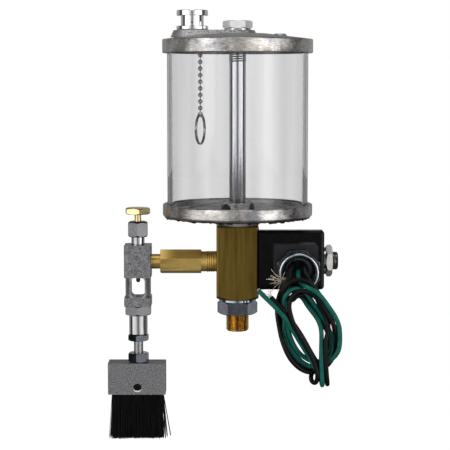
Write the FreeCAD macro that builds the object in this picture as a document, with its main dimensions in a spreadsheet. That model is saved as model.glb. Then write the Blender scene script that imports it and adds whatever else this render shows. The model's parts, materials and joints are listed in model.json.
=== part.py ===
import FreeCAD, Part
import math
import os
import re

import Sketcher
from FreeCAD import Placement, Rotation, Vector

# Solenoid operated chain oiler: a clear oil reservoir on a solenoid valve, with a sight-feed
# needle valve and an oil brush on its left and the coil's leads coiled up on its right.
# The origin is the centre of the mounting stud's lower end. +Z is up, +X points from the
# reservoir to the solenoid, and -Y faces the viewer. Millimetres.

DRIVING = [
    ("turned_gap", 0.05, "radial gap of a screwed or pressed round fit"),
    ("running_gap", 0.08, "radial gap of a shaft that slides or turns"),
    ("overrun", 1.0, "how far a drill runs on into open space"),
    ("stud_radius", 7.94, "mounting stud, over its free thread"),
    ("stud_grip_radius", 7.6, "mounting stud inside its nut and the valve body"),
    ("stud_showing", 11.7, "stud below its nut"),
    ("stud_inset", 11.0, "stud inside the valve body"),
    ("stud_bevel", 1.2, "bevel at both ends of the stud"),
    ("mount_nut_flats", 23.8, "mounting nut, across flats"),
    ("mount_nut_height", 8.8, "mounting nut"),
    ("nut_bevel", 1.0, "height of the bevel on the large nuts"),
    ("mount_washer_radius", 12.7, "mounting washer"),
    ("mount_washer_thickness", 1.7, "mounting washer"),
    ("body_width", 28.6, "square bar of the valve body"),
    ("body_height", 49.8, "valve body"),
    ("body_round", 1.5, "long edges of the valve body"),
    ("body_end_turn", 13.9, "radius of the flat left on the bar's turned lower end"),
    ("end_turn_angle", 30.0, "slope of the turned end, degrees"),
    ("rod_socket_depth", 12.0, "tapped socket for the centre rod"),
    ("gallery_radius", 1.8, "oil way from the rod socket to the valve chamber"),
    ("gallery_offset", 5.2, "the oil way, from the body's axis"),
    ("gallery_entry", 3.1, "the oil way, into the valve chamber"),
    ("solenoid_height", 25.9, "solenoid axis above the body's lower end"),
    ("chamber_radius", 8.0, "valve chamber, open to the solenoid side"),
    ("chamber_depth", 10.3, "valve chamber"),
    ("seat_radius", 3.0, "raised valve seat"),
    ("seat_height", 1.2, "raised valve seat"),
    ("orifice_radius", 1.2, "hole through the valve seat"),
    ("outlet_height", 25.4, "outlet port's axis above the body's lower end"),
    ("outlet_depth", 9.6, "outlet port"),
    ("body_seal_radius", 13.4, "gasket under the bottom plate's boss"),
    ("body_seal_thickness", 0.8, "gasket under the bottom plate's boss"),
    ("plate_overhang", 3.175, "bottom plate and top cover, beyond the clear cylinder"),
    ("plate_rim_height", 8.6, "bottom plate's rim"),
    ("plate_edge_round", 2.0, "cast lower edge of the rim"),
    ("rim_edge_round", 0.8, "machined edges of the rims"),
    ("boss_drop", 5.8, "boss under the bottom plate"),
    ("boss_low_radius", 14.5, "that boss at its foot"),
    ("boss_high_radius", 19.5, "that boss at the plate"),
    ("groove_depth", 3.0, "grooves that hold the clear cylinder"),
    ("groove_gap", 0.25, "groove walls, from the clear cylinder"),
    ("land_width", 2.8, "lip inside each groove"),
    ("land_drop", 0.8, "that lip, below the bottom plate's rim"),
    ("floor_drop", 2.8, "reservoir floor, below the rim"),
    ("floor_ring_radius", 33.0, "turned ring in the floor"),
    ("floor_ring_drop", 0.9, "turned ring in the floor"),
    ("inner_boss_radius", 11.3, "boss round the rod in the floor"),
    ("inner_boss_rise", 0.2, "that boss, above the rim"),
    ("cylinder_radius", 47.625, "clear cylinder, outside"),
    ("cylinder_wall", 3.2, "clear cylinder"),
    ("cylinder_length", 105.7, "clear cylinder"),
    ("seal_thickness", 1.0, "gaskets at the clear cylinder's ends"),
    ("cover_rim_height", 9.3, "top cover's rim"),
    ("cover_crown_rise", 3.8, "crown of the cover above its rim"),
    ("cover_crown_radius", 20.0, "flat middle of the crown"),
    ("cover_recess", 4.5, "hollow under the cover"),
    ("cover_pad_radius", 11.0, "pad round the rod under the cover"),
    ("cover_pad_drop", 1.1, "that pad, above the rim's lower face"),
    ("bridge_rise", 6.0, "raised bridge from the filler to the rod, above the rim"),
    ("bridge_end_radius", 12.7, "bridge at the filler"),
    ("bridge_boss_radius", 18.3, "bridge round the rod"),
    ("bridge_draft", 24.0, "draft of the bridge's sides, degrees"),
    ("bridge_root", 4.6, "height of the bridge's sides"),
    ("bump_offset", 28.5, "cast bump on the cover, from the rod"),
    ("bump_radius", 3.6, "cast bump"),
    ("bump_rise", 1.0, "cast bump, above the crown round it"),
    ("rod_radius", 5.55, "centre rod"),
    ("rod_short", 0.5, "rod's end, below the top nut's face"),
    ("rod_bevel", 0.8, "rod's ends"),
    ("rod_bore", 2.0, "oil way up the rod"),
    ("rod_inlet_radius", 1.5, "cross hole that lets the oil in"),
    ("rod_inlet_rise", 2.4, "cross hole, above the inner boss"),
    ("top_nut_flats", 17.46, "nut on the rod, across flats"),
    ("top_nut_height", 5.2, "nut on the rod"),
    ("top_nut_bevel", 0.7, "nut on the rod"),
    ("top_washer_radius", 8.9, "washer under that nut"),
    ("top_washer_thickness", 1.2, "washer under that nut"),
    ("filler_inset", 20.3, "filler's axis, from the cover's left edge"),
    ("filler_bore", 6.95, "filler neck, inside"),
    ("filler_neck_radius", 7.65, "filler neck, outside"),
    ("filler_neck_height", 6.7, "filler neck above its flange"),
    ("filler_flange_radius", 10.65, "filler's flange"),
    ("filler_flange_height", 2.9, "filler's flange"),
    ("filler_shank_radius", 8.85, "screwed shank in the cover"),
    ("filler_shank_length", 9.5, "screwed shank in the cover"),
    ("vent_radius", 0.65, "vent hole in the neck"),
    ("vent_rise", 2.2, "vent hole, above the flange"),
    ("cap_radius", 10.55, "filler cap"),
    ("cap_height", 3.8, "filler cap"),
    ("cap_edge", 0.4, "bevels of the cap and the flange"),
    ("cap_plug_length", 7.0, "cap's plug inside the neck"),
    ("cap_plug_gap", 0.1, "plug to neck"),
    ("ring_seal_section", 0.75, "cap's sealing ring, radius of its section"),
    ("ring_seal_drop", 4.6, "cap's sealing ring, below the cap"),
    ("chain_offset", 5.3, "chain, from the cap's axis"),
    ("eye_radius", 1.35, "chain eye, to the middle of its wire"),
    ("eye_wire", 0.45, "chain eye's wire, radius"),
    ("eye_stem", 2.0, "chain eye's stem inside the plug"),
    ("bead_radius", 1.55, "chain bead"),
    ("bead_pitch", 4.43, "bead to bead"),
    ("bead_count", 12, "beads"),
    ("bead_wire", 0.4, "wire between the beads, radius"),
    ("link_radius", 1.5, "coupling ring between chain and split ring"),
    ("link_wire", 0.4, "coupling ring's wire, radius"),
    ("ring_outer", 10.5, "split ring, outside"),
    ("ring_band", 1.1, "split ring, across its band"),
    ("ring_thickness", 1.7, "split ring, through both turns"),
    ("ring_turn", 16.0, "split ring, turned from edge-on, degrees"),
    ("tube_radius", 6.4, "armature tube, outside"),
    ("tube_bore", 5.2, "armature tube, inside"),
    ("tube_collar_length", 6.0, "screwed collar of the armature tube"),
    ("tube_short", 1.2, "armature tube's end, inside the coil's far end"),
    ("core_length", 16.9, "fixed core inside the tube"),
    ("core_stud_radius", 6.0, "core's threaded end"),
    ("core_stud_length", 11.55, "core's threaded end"),
    ("core_bevel", 0.8, "ends of the core and the plunger"),
    ("plunger_travel", 1.5, "valve lift"),
    ("plunger_stop_gap", 0.2, "plunger to core when open"),
    ("seat_clearance", 0.05, "valve seal to its seat when shut"),
    ("seal_radius", 2.9, "valve seal"),
    ("seal_length", 2.0, "valve seal"),
    ("seal_proud", 0.3, "valve seal, beyond the plunger"),
    ("spring_pocket_radius", 2.7, "pocket for the return spring"),
    ("spring_pocket_depth", 9.0, "pocket for the return spring"),
    ("spring_radius", 2.1, "return spring, to the middle of its wire"),
    ("spring_wire", 0.35, "return spring's wire, radius"),
    ("spring_turns", 5, "return spring"),
    ("coil_length", 43.8, "moulded coil along the armature tube"),
    ("coil_depth", 40.0, "moulded coil, front to back"),
    ("coil_height", 39.9, "moulded coil"),
    ("coil_bore", 6.5, "hole through the coil"),
    ("coil_axis_height", 17.4, "coil's hole above its lower face"),
    ("coil_round", 2.4, "coil's edges"),
    ("coil_flat", 9.0, "level part of the coil's top and underside, behind its front face"),
    ("coil_taper", 3.6, "how far the top and underside close in towards the back"),
    ("coil_pad_start", 9.1, "raised pad, from the valve body"),
    ("coil_pad_length", 31.1, "raised pad along the coil"),
    ("coil_pad_height", 32.2, "raised pad above the coil's lower face"),
    ("coil_pad_rise", 1.5, "raised pad"),
    ("coil_pad_slope", 1.4, "bevel round the raised pad"),
    ("coil_washer_radius", 9.2, "washer at the coil's end"),
    ("coil_washer_thickness", 2.1, "washer at the coil's end"),
    ("coil_nut_flats", 19.05, "nut that holds the coil, across flats"),
    ("coil_nut_height", 4.3, "nut that holds the coil"),
    ("hub_offset", 26.1, "conduit hub's axis, from the valve body's face"),
    ("hub_height", 13.3, "conduit hub's axis above the coil's lower face"),
    ("hub_flats", 28.65, "eight-sided flange, across flats"),
    ("hub_flange", 6.5, "eight-sided flange"),
    ("hub_barrel_radius", 13.2, "hub's barrel"),
    ("hub_length", 14.5, "conduit hub"),
    ("hub_bore", 10.6, "hub's bore"),
    ("hub_floor", 1.5, "hub's floor on the coil"),
    ("hub_floor_hole", 7.2, "hole for the leads in the hub's floor"),
    ("hub_lip_bevel", 1.0, "hub's mouth"),
    ("lead_radius", 1.55, "leads over their insulation"),
    ("strand_radius", 0.9, "stripped strands, twisted"),
    ("coil_of_leads_depth", 9.5, "coiled leads, front to back"),
    ("coil_of_leads_gap", 0.6, "coiled leads, in front of the hub"),
    ("coil_of_leads_width", 11.2, "coiled leads, across the bundle"),
    ("nipple_flats", 14.9, "long outlet nipple, across flats"),
    ("nipple_turn", 12.0, "nipple's flats, turned from the viewer, degrees"),
    ("nipple_length", 57.5, "outlet nipple, end to end"),
    ("nipple_bore", 2.6, "outlet nipple's bore"),
    ("nipple_hex_length", 28.0, "hexagonal part of the nipple"),
    ("nipple_small_radius", 5.05, "nipple's end in the sight-feed body"),
    ("nipple_small_inset", 4.0, "nipple's end in the sight-feed body"),
    ("nipple_small_showing", 6.2, "nipple between the sight-feed body and its hexagon"),
    ("nipple_large_radius", 6.9, "nipple's end in the valve body"),
    ("nipple_inset", 9.0, "nipple's end in the valve body"),
    ("nipple_bevel", 0.6, "nipple's hexagon and ends"),
    ("sight_width", 18.2, "square bar of the sight-feed body"),
    ("sight_height", 41.7, "sight-feed body"),
    ("sight_edge", 0.5, "sight-feed body's long edges"),
    ("sight_port_height", 30.1, "side port above the sight-feed body's lower end"),
    ("sight_port_depth", 4.3, "side port"),
    ("waist_radius", 8.7, "turned waist round the window"),
    ("window_low", 6.1, "window above the body's lower end"),
    ("window_height", 13.6, "window"),
    ("window_width", 9.6, "window"),
    ("window_round", 3.0, "window's corners"),
    ("needle_chamber_radius", 3.2, "chamber round the needle"),
    ("needle_seat_height", 27.2, "needle's seat above the body's lower end"),
    ("needle_orifice", 0.8, "hole under the needle"),
    ("drain_radius", 2.2, "drain below the window"),
    ("sight_socket_depth", 4.9, "tapped socket under the sight-feed body"),
    ("nozzle_radius", 1.45, "drip nozzle"),
    ("nozzle_bore", 0.7, "drip nozzle"),
    ("nozzle_inset", 4.0, "drip nozzle inside the body"),
    ("nozzle_showing", 3.9, "drip nozzle below the body"),
    ("nozzle_taper", 1.0, "drip nozzle's tapered tip"),
    ("nozzle_lip", 0.2, "wall left at that tip"),
    ("bonnet_radius", 4.5, "bonnet, over its thread"),
    ("bonnet_inset", 8.0, "bonnet inside the body"),
    ("bonnet_showing", 11.2, "bonnet above the body"),
    ("gland_gap", 5.3, "packing nut above the sight-feed body"),
    ("gland_height", 10.7, "packing nut"),
    ("gland_flats", 13.0, "packing nut, across flats"),
    ("gland_bevel", 1.3, "packing nut"),
    ("gland_roof", 2.2, "packing nut, over the packing"),
    ("stem_radius", 2.25, "needle's stem"),
    ("needle_radius", 1.5, "needle's lower shank"),
    ("needle_taper", 1.55, "needle's cone above its seat"),
    ("needle_tip_drop", 1.0, "needle's point below its seat"),
    ("needle_tip_radius", 0.3, "needle's point"),
    ("needle_step", 17.3, "thick stem above the seat"),
    ("knob_flats", 15.9, "adjusting knob, across flats"),
    ("knob_height", 4.4, "adjusting knob"),
    ("knob_bevel", 0.9, "adjusting knob"),
    ("knob_gap", 4.8, "knob above the packing nut"),
    ("knob_turn_start", 9.0, "knob's corners at rest, degrees"),
    ("knob_socket", 3.2, "stem inside the knob"),
    ("lock_nut_flats", 17.2, "nut under the sight-feed body, across flats"),
    ("lock_nut_height", 6.3, "nut under the sight-feed body"),
    ("lock_nut_gap", 0.1, "that nut, below the body"),
    ("barrel_radius", 6.3, "drop barrel"),
    ("barrel_height", 13.8, "drop barrel"),
    ("barrel_neck_radius", 5.0, "drop barrel's upper thread"),
    ("barrel_tail_radius", 4.0, "drop barrel's lower thread"),
    ("barrel_tail_length", 3.0, "drop barrel's lower thread"),
    ("barrel_bore", 2.2, "drop barrel"),
    ("tube_socket", 7.0, "drop tube inside the barrel"),
    ("small_nut_flats", 12.7, "nuts of the drop tube, across flats"),
    ("barrel_nut_height", 4.3, "upper nut of the drop tube"),
    ("brush_nut_height", 6.0, "lower nut of the drop tube"),
    ("small_nut_bevel", 0.6, "nuts of the drop tube"),
    ("small_nut_turn", 20.0, "those nuts' corners, degrees"),
    ("drop_tube_radius", 3.2, "drop tube"),
    ("drop_tube_bore", 2.0, "drop tube"),
    ("drop_tube_showing", 8.5, "drop tube between its nuts"),
    ("drop_tube_short", 1.0, "drop tube's end, above the end of the lower nut's thread"),
    ("brush_thread_length", 4.6, "lower nut's thread in the brush block"),
    ("brush_length", 39.4, "brush block"),
    ("brush_depth", 15.9, "brush block, front to back"),
    ("brush_height", 21.5, "brush block"),
    ("brush_shift", 1.0, "brush block's middle, left of the drop tube"),
    ("brush_edge", 0.6, "brush block's edges"),
    ("brush_gap", 0.4, "brush block below the lower nut"),
    ("brush_oil_hole", 1.6, "oil hole in the brush block"),
    ("slot_width", 7.0, "slot for the brush strip"),
    ("slot_depth", 6.0, "slot for the brush strip"),
    ("strip_length", 35.2, "brush strip"),
    ("strip_width", 6.9, "brush strip"),
    ("strip_wall", 0.9, "brush strip"),
    ("screw_hole_radius", 2.85, "hole for the set screw"),
    ("screw_rise", 4.8, "set screw above the block's lower face"),
    ("screw_recess", 1.0, "set screw behind the block's face"),
    ("screw_socket", 2.5, "set screw's socket, across flats"),
    ("bristle_length", 32.1, "bristles below the block"),
    ("tuft_count", 12, "tufts along the brush"),
    ("tuft_root", 1.75, "tuft's radius in the strip"),
    ("tuft_end", 2.5, "tuft's radius at its end"),
    ("tuft_gap", 0.4, "end tufts, clear of the strip's ends"),
    ("tuft_uneven", 0.9, "how far the tufts' ends differ"),
    ("drop_height", 17.5, "sight-feed body's lower end above the stud's lower end"),
]

DERIVED = [
    ("plate_radius", "cylinder_radius + plate_overhang"),
    ("filler_offset", "plate_radius - filler_inset"),
    ("tube_reach", "coil_length - tube_short"),
    (
        "gallery_depth",
        "body_height - rod_socket_depth - solenoid_height - chamber_radius + gallery_entry",
    ),
    ("nut_low", "stud_showing"),
    ("washer_low", "nut_low + mount_nut_height"),
    ("body_low", "washer_low + mount_washer_thickness"),
    ("body_high", "body_low + body_height"),
    ("body_half", "body_width / 2"),
    ("plate_low", "body_high + body_seal_thickness"),
    ("plate_top", "boss_drop + plate_rim_height"),
    ("groove_out", "cylinder_radius + groove_gap"),
    ("groove_in", "cylinder_radius - cylinder_wall - groove_gap"),
    ("groove_floor", "plate_low + plate_top - groove_depth"),
    ("cylinder_low", "groove_floor + seal_thickness"),
    ("cylinder_high", "cylinder_low + cylinder_length"),
    ("cover_low", "cylinder_high + seal_thickness - groove_depth"),
    ("rim_high", "cover_low + cover_rim_height"),
    ("bridge_high", "rim_high + bridge_rise"),
    ("rod_hole", "rod_radius + turned_gap"),
    ("rod_low", "body_high - rod_socket_depth"),
    ("top_nut_low", "bridge_high + top_washer_thickness"),
    ("rod_length", "top_nut_low + top_nut_height - rod_short - rod_low"),
    ("rod_inlet", "plate_low + plate_top + inner_boss_rise + rod_inlet_rise - rod_low"),
    ("neck_high", "bridge_high + filler_flange_height + filler_neck_height"),
    ("plug_radius", "filler_bore - cap_plug_gap"),
    ("ring_seal_radius", "plug_radius - ring_seal_section"),
    ("chain_x", "chain_offset - filler_offset"),
    ("plug_low", "neck_high - cap_plug_length"),
    ("eye_z", "plug_low - eye_radius - eye_wire"),
    ("bead_stub", "bead_pitch / 2 + bead_wire / 2"),
    ("chain_high", "eye_z - eye_radius - eye_wire - turned_gap - bead_stub"),
    ("chain_low", "chain_high - bead_pitch * (bead_count - 1)"),
    ("link_z", "chain_low - bead_stub - turned_gap - link_wire - link_radius"),
    ("ring_z", "link_z + ring_band / 2 - ring_outer"),
    ("solenoid_z", "body_low + solenoid_height"),
    ("chamber_floor", "body_half - chamber_depth"),
    ("tube_start", "body_half - tube_collar_length"),
    ("tube_length", "tube_collar_length + tube_reach"),
    ("core_start", "body_half + tube_reach - core_length"),
    ("seal_start", "chamber_floor + seat_height + seat_clearance"),
    ("plunger_start", "seal_start + seal_proud"),
    ("plunger_length", "core_start - plunger_stop_gap - plunger_travel - plunger_start"),
    ("spring_start", "plunger_start + plunger_length - spring_pocket_depth"),
    ("spring_length", "core_start - spring_start"),
    ("coil_low", "solenoid_z - coil_axis_height"),
    ("coil_end", "body_half + coil_length"),
    ("pad_face", "coil_depth / 2 + coil_pad_rise"),
    ("hub_x", "body_half + hub_offset"),
    ("hub_z", "coil_low + hub_height"),
    ("hub_mouth", "pad_face + hub_length"),
    ("leads_back", "hub_mouth + coil_of_leads_gap"),
    ("outlet_z", "body_low + outlet_height"),
    ("nipple_start", "nipple_inset - body_half - nipple_length"),
    ("nipple_hex_start", "nipple_small_inset + nipple_small_showing"),
    ("sight_axis", "sight_width / 2 - nipple_small_inset - nipple_start"),
    ("window_high", "window_low + window_height"),
    ("sight_high", "drop_height + sight_height"),
    ("bonnet_low", "sight_high - bonnet_inset"),
    ("gland_low", "sight_high + gland_gap"),
    ("stem_bore", "stem_radius + running_gap"),
    ("needle_seat", "drop_height + needle_seat_height"),
    ("knob_low", "gland_low + gland_height + knob_gap"),
    ("stem_length", "knob_low + knob_socket - needle_seat"),
    ("lock_nut_low", "drop_height - lock_nut_gap - lock_nut_height"),
    ("barrel_low", "lock_nut_low - barrel_height"),
    ("barrel_nut_low", "barrel_low - barrel_nut_height"),
    ("brush_nut_low", "barrel_nut_low - drop_tube_showing - brush_nut_height"),
    ("brush_high", "brush_nut_low - brush_gap"),
    ("brush_low", "brush_high - brush_height"),
    ("thread_low", "brush_nut_low - brush_thread_length"),
    ("drop_tube_low", "thread_low + drop_tube_short"),
    ("drop_tube_high", "barrel_low + tube_socket"),
    ("brush_x", "-sight_axis - brush_shift"),
]

NUMBERS = {name: value for name, value, note in DRIVING}
FORMULAS = dict(DERIVED)

doc = FreeCAD.newDocument("ChainOilReservoir")
nodes = []

SIDEWAYS = Rotation(Vector(0, 1, 0), 90)
FORWARD = Rotation(Vector(1, 0, 0), 90)


def bound(formula):
    """A formula with each named size pointed at the sheet that holds it."""

    def place(match):
        word = match.group(0)
        if word in NUMBERS:
            return "Sizes." + word
        return "Levels." + word if word in FORMULAS else word

    return re.sub(r"[a-z][a-z_]*", place, str(formula))


def fill_sheets():
    sizes = doc.addObject("Spreadsheet::Sheet", "Sizes")
    for row, (name, value, note) in enumerate(DRIVING, start=1):
        sizes.set(f"A{row}", note)
        sizes.set(f"B{row}", str(value))
        sizes.setAlias(f"B{row}", name)
    doc.recompute()
    levels = doc.addObject("Spreadsheet::Sheet", "Levels")
    for row, (name, formula) in enumerate(DERIVED, start=1):
        levels.set(f"A{row}", name)
        levels.set(f"B{row}", "=" + bound(formula).replace("Levels.", ""))
        levels.setAlias(f"B{row}", name)
    doc.recompute()
    return sizes


def number(formula):
    """The value of a formula, in millimetres or degrees."""
    found = sheet.evalExpression(bound(formula))
    return float(getattr(found, "Value", found))


def place_at(item, at):
    for letter, formula in zip("xyz", at):
        item.setExpression("Placement.Base." + letter, bound(formula))


def piece(name, at=("0", "0", "0"), turn=None):
    """A new sub-part with a frame of its own, which its file is named after."""
    body = doc.addObject("PartDesign::Body", name)
    body.Label = name
    body.Placement = Placement(Vector(), turn or Rotation())
    place_at(body, at)
    nodes.append(body)
    return body


def sketch_on(body, name, plane, offset="0"):
    sketch = body.newObject("Sketcher::SketchObject", name)
    origin = [item for item in body.Origin.OriginFeatures if item.Role == plane][0]
    sketch.AttachmentSupport = [(origin, "")]
    sketch.MapMode = "FlatFace"
    sketch.setExpression("AttachmentOffset.Base.z", bound(offset))
    return sketch


def arc_between(start, end, radius, side):
    """The shorter arc from start to end, its centre on the left for side 1, right for -1."""
    chord = end - start
    half = chord.Length / 2
    normal = Vector(-chord.y, chord.x, 0).normalize()
    centre = start + chord * 0.5 + normal * (side * math.sqrt(radius**2 - half**2))
    first, last = (start, end) if side > 0 else (end, start)
    angles = [math.atan2(p.y - centre.y, p.x - centre.x) for p in (first, last)]
    if angles[1] < angles[0]:
        angles[1] += 2 * math.pi
    return Part.ArcOfCircle(Part.Circle(centre, Vector(0, 0, 1), radius), *angles)


def draw_loop(sketch, corners, arcs=None):
    """A closed outline through the corners. arcs gives an edge's (radius, side) by its number."""
    arcs = arcs or {}
    spots = [Vector(number(across), number(up), 0) for across, up in corners]
    count = len(spots)
    ends = []
    for k in range(count):
        here, there = spots[k], spots[(k + 1) % count]
        if k in arcs:
            radius, side = arcs[k]
            edge = sketch.addGeometry(arc_between(here, there, number(radius), side))
            ends.append((edge, 1, 2) if side > 0 else (edge, 2, 1))
        else:
            ends.append((sketch.addGeometry(Part.LineSegment(here, there)), 1, 2))
    rules = []
    formulas = []
    for k in range(count):
        edge, start, end = ends[k]
        after = ends[(k + 1) % count]
        rules.append(Sketcher.Constraint("Coincident", edge, end, after[0], after[1]))
        formulas.append(None)
        for kind, formula, value in zip(("DistanceX", "DistanceY"), corners[k], spots[k]):
            rules.append(Sketcher.Constraint(kind, -1, 1, edge, start, value))
            formulas.append(formula)
        if k in arcs:
            rules.append(Sketcher.Constraint("Radius", edge, number(arcs[k][0])))
            formulas.append(arcs[k][0])
    bind_rules(sketch, rules, formulas)


def bind_rules(sketch, rules, formulas):
    first = sketch.ConstraintCount
    sketch.addConstraint(rules)
    for k, formula in enumerate(formulas):
        if formula is not None:
            sketch.setExpression(f"Constraints[{first + k}]", bound(formula))


def draw_circle(sketch, radius, centre=("0", "0")):
    spot = Vector(number(centre[0]), number(centre[1]), 0)
    edge = sketch.addGeometry(Part.Circle(spot, Vector(0, 0, 1), number(radius)))
    rules = [
        Sketcher.Constraint("DistanceX", -1, 1, edge, 3, spot.x),
        Sketcher.Constraint("DistanceY", -1, 1, edge, 3, spot.y),
        Sketcher.Constraint("Radius", edge, number(radius)),
    ]
    bind_rules(sketch, rules, [centre[0], centre[1], radius])


def turned(body, name, corners, arcs=None, kind="Revolution"):
    """A turned form about the piece's own Z axis, from (radius, height) corners."""
    sketch = sketch_on(body, name + "_outline", "XZ_Plane")
    draw_loop(sketch, corners, arcs)
    turn = body.newObject("PartDesign::" + kind, name)
    turn.Profile = sketch
    turn.ReferenceAxis = (sketch, ["V_Axis"])
    turn.Angle = 360
    return turn


def lessened(body, feature):
    """Makes sure that a cut took something away."""
    doc.recompute()
    before = feature.BaseFeature.Shape.Volume
    if not feature.Shape.Volume < before:
        raise ValueError(f"{body.Label}: {feature.Name} cuts nothing")
    return feature


def polygon(flats, sides, start):
    """Corners of a regular outline, from its size across flats and its first corner's angle."""
    return [
        (
            f"{flats} / 2 / cos(180 deg / {sides}) * cos(({start} + {360 * k / sides}) * 1 deg)",
            f"{flats} / 2 / cos(180 deg / {sides}) * sin(({start} + {360 * k / sides}) * 1 deg)",
        )
        for k in range(sides)
    ]


def mill_flats(body, name, flats, low, height, start="0", sides=6):
    """Mills flats round a stretch of a turned blank."""
    sketch = sketch_on(body, name + "_outline", "XY_Plane", low)
    draw_circle(sketch, flats)
    draw_loop(sketch, polygon(flats, sides, start))
    cut = body.newObject("PartDesign::Pocket", name)
    cut.Profile = sketch
    cut.Type = 0
    cut.Reversed = True
    cut.setExpression("Length", bound(height))
    return lessened(body, cut)


def drill(body, name, radius, depth, at=("0", "0", "0"), turn=None):
    """A round hole from a point, along +Z or the way that turn takes +Z."""
    cut = body.newObject("PartDesign::SubtractiveCylinder", name)
    cut.Placement = Placement(Vector(), turn or Rotation())
    place_at(cut, at)
    cut.setExpression("Radius", bound(radius))
    cut.setExpression("Height", bound(depth))
    return lessened(body, cut)


def box_feature(body, name, sizes, at, kind="AdditiveBox"):
    block = body.newObject("PartDesign::" + kind, name)
    for side, formula in zip(("Length", "Width", "Height"), sizes):
        block.setExpression(side, bound(formula))
    place_at(block, at)
    return block


def edges_where(feature, test):
    doc.recompute()
    found = [
        f"Edge{k}" for k, edge in enumerate(feature.Shape.Edges, start=1) if test(edge)
    ]
    if not found:
        raise ValueError(f"{feature.Name}: no such edge")
    return found


def circle_at(radius, height):
    """Picks the round edges of one radius at one height of a turned piece."""

    def test(edge):
        curve = edge.Curve
        if not isinstance(curve, Part.Circle):
            return False
        same_radius = abs(curve.Radius - number(radius)) < 1e-4
        return same_radius and abs(edge.CenterOfMass.z - number(height)) < 1e-4

    return test


def upright(edge):
    """Picks the straight edges along a piece's own Z axis."""
    if not isinstance(edge.Curve, Part.Line):
        return False
    return abs(abs(edge.tangentAt(edge.FirstParameter).z) - 1) < 1e-6


def ease(body, name, base, test, size, kind="Fillet"):
    """Rounds or bevels the edges that the test picks."""
    eased = body.newObject("PartDesign::" + kind, name)
    eased.Base = (base, edges_where(base, test))
    eased.setExpression("Radius" if kind == "Fillet" else "Size", bound(size))
    return eased


def ring(name, inner, outer, thickness, at, turn=None):
    """A washer, gasket or tube."""
    body = piece(name, at, turn)
    turned(
        body,
        name + "_turn",
        [(inner, "0"), (outer, "0"), (outer, thickness), (inner, thickness)],
    )
    return body


def hex_nut(name, flats, height, bevel, bore, at, start="0", turn=None):
    """A hexagon nut with both faces bevelled, its first corner at the start angle."""
    body = piece(name, at, turn)
    corner = f"{flats} / 2 / cos(30 deg)"
    outline = [
        (bore, "0"),
        (f"{flats} / 2", "0"),
        (corner, bevel),
        (corner, f"{height} - {bevel}"),
        (f"{flats} / 2", height),
        (bore, height),
    ]
    turned(body, name + "_blank", outline)
    mill_flats(body, name + "_flats", flats, "0", height, start)
    return body


def round_bar(body, name, radius, low, high, bevel):
    """A round bar with bevelled ends."""
    outline = [
        ("0", low),
        (f"{radius} - {bevel}", low),
        (radius, f"{low} + {bevel}"),
        (radius, f"{high} - {bevel}"),
        (f"{radius} - {bevel}", high),
        ("0", high),
    ]
    return turned(body, name, outline)


# The stud that carries the oiler, with its nut and washer.


def make_mounting():
    stud = piece("mounting_stud")
    high = "body_low + stud_inset"
    outline = [
        ("0", "0"),
        ("stud_radius - stud_bevel", "0"),
        ("stud_radius", "stud_bevel"),
        ("stud_radius", "nut_low"),
        ("stud_grip_radius", "nut_low"),
        ("stud_grip_radius", f"{high} - stud_bevel"),
        ("stud_grip_radius - stud_bevel", high),
        ("0", high),
    ]
    turned(stud, "stud_turn", outline)
    bore = "stud_grip_radius + turned_gap"
    hex_nut("mounting_nut", "mount_nut_flats", "mount_nut_height", "nut_bevel", bore, ("0", "0", "nut_low"))
    ring("mounting_washer", bore, "mount_washer_radius", "mount_washer_thickness", ("0", "0", "washer_low"))


def make_valve_body():
    body = piece("valve_body", ("0", "0", "body_low"))
    half = "body_width / 2"
    block = box_feature(
        body, "bar", ("body_width", "body_width", "body_height"), (f"-{half}", f"-{half}", "0")
    )
    ease(body, "bar_edges", block, upright, "body_round")
    reach = "body_width"
    rise = f"({reach} - body_end_turn) * tan(end_turn_angle * 1 deg)"
    corner_cut = turned(
        body,
        "turned_end",
        [("body_end_turn", "0"), (reach, "0"), (reach, rise)],
        kind="Groove",
    )
    lessened(body, corner_cut)
    drill(body, "stud_socket", "stud_grip_radius + turned_gap", "stud_inset + turned_gap")
    socket_floor = "body_height - rod_socket_depth"
    drill(body, "rod_socket", "rod_hole", "rod_socket_depth", ("0", "0", socket_floor))
    gallery_low = f"{socket_floor} - gallery_depth"
    drill(
        body, "gallery", "gallery_radius", "gallery_depth + overrun", ("gallery_offset", "0", gallery_low)
    )
    chamber = turned_chamber(body)
    lessened(body, chamber)
    drill(
        body,
        "orifice",
        "orifice_radius",
        "body_width / 2 + chamber_floor + seat_height",
        (f"-{half}", "0", "solenoid_height"),
        SIDEWAYS,
    )
    drill(
        body,
        "outlet_port",
        "nipple_large_radius + turned_gap",
        "outlet_depth",
        (f"-{half}", "0", "outlet_height"),
        SIDEWAYS,
    )


def turned_chamber(body):
    """The valve chamber, bored from the right face so that the seat is left standing."""
    sketch = sketch_on(body, "chamber_outline", "XZ_Plane")
    axis = "solenoid_height"
    corners = [
        ("body_half", axis),
        ("body_half", f"{axis} + chamber_radius"),
        ("chamber_floor", f"{axis} + chamber_radius"),
        ("chamber_floor", f"{axis} + seat_radius"),
        ("chamber_floor + seat_height", f"{axis} + seat_radius"),
        ("chamber_floor + seat_height", axis),
    ]
    draw_loop(sketch, corners)
    cut = body.newObject("PartDesign::Groove", "chamber")
    cut.Profile = sketch
    cut.ReferenceAxis = (sketch, ["Edge6"])
    cut.Angle = 360
    return cut


# The reservoir: bottom plate, clear cylinder and cover, held together by the centre rod.


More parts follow.
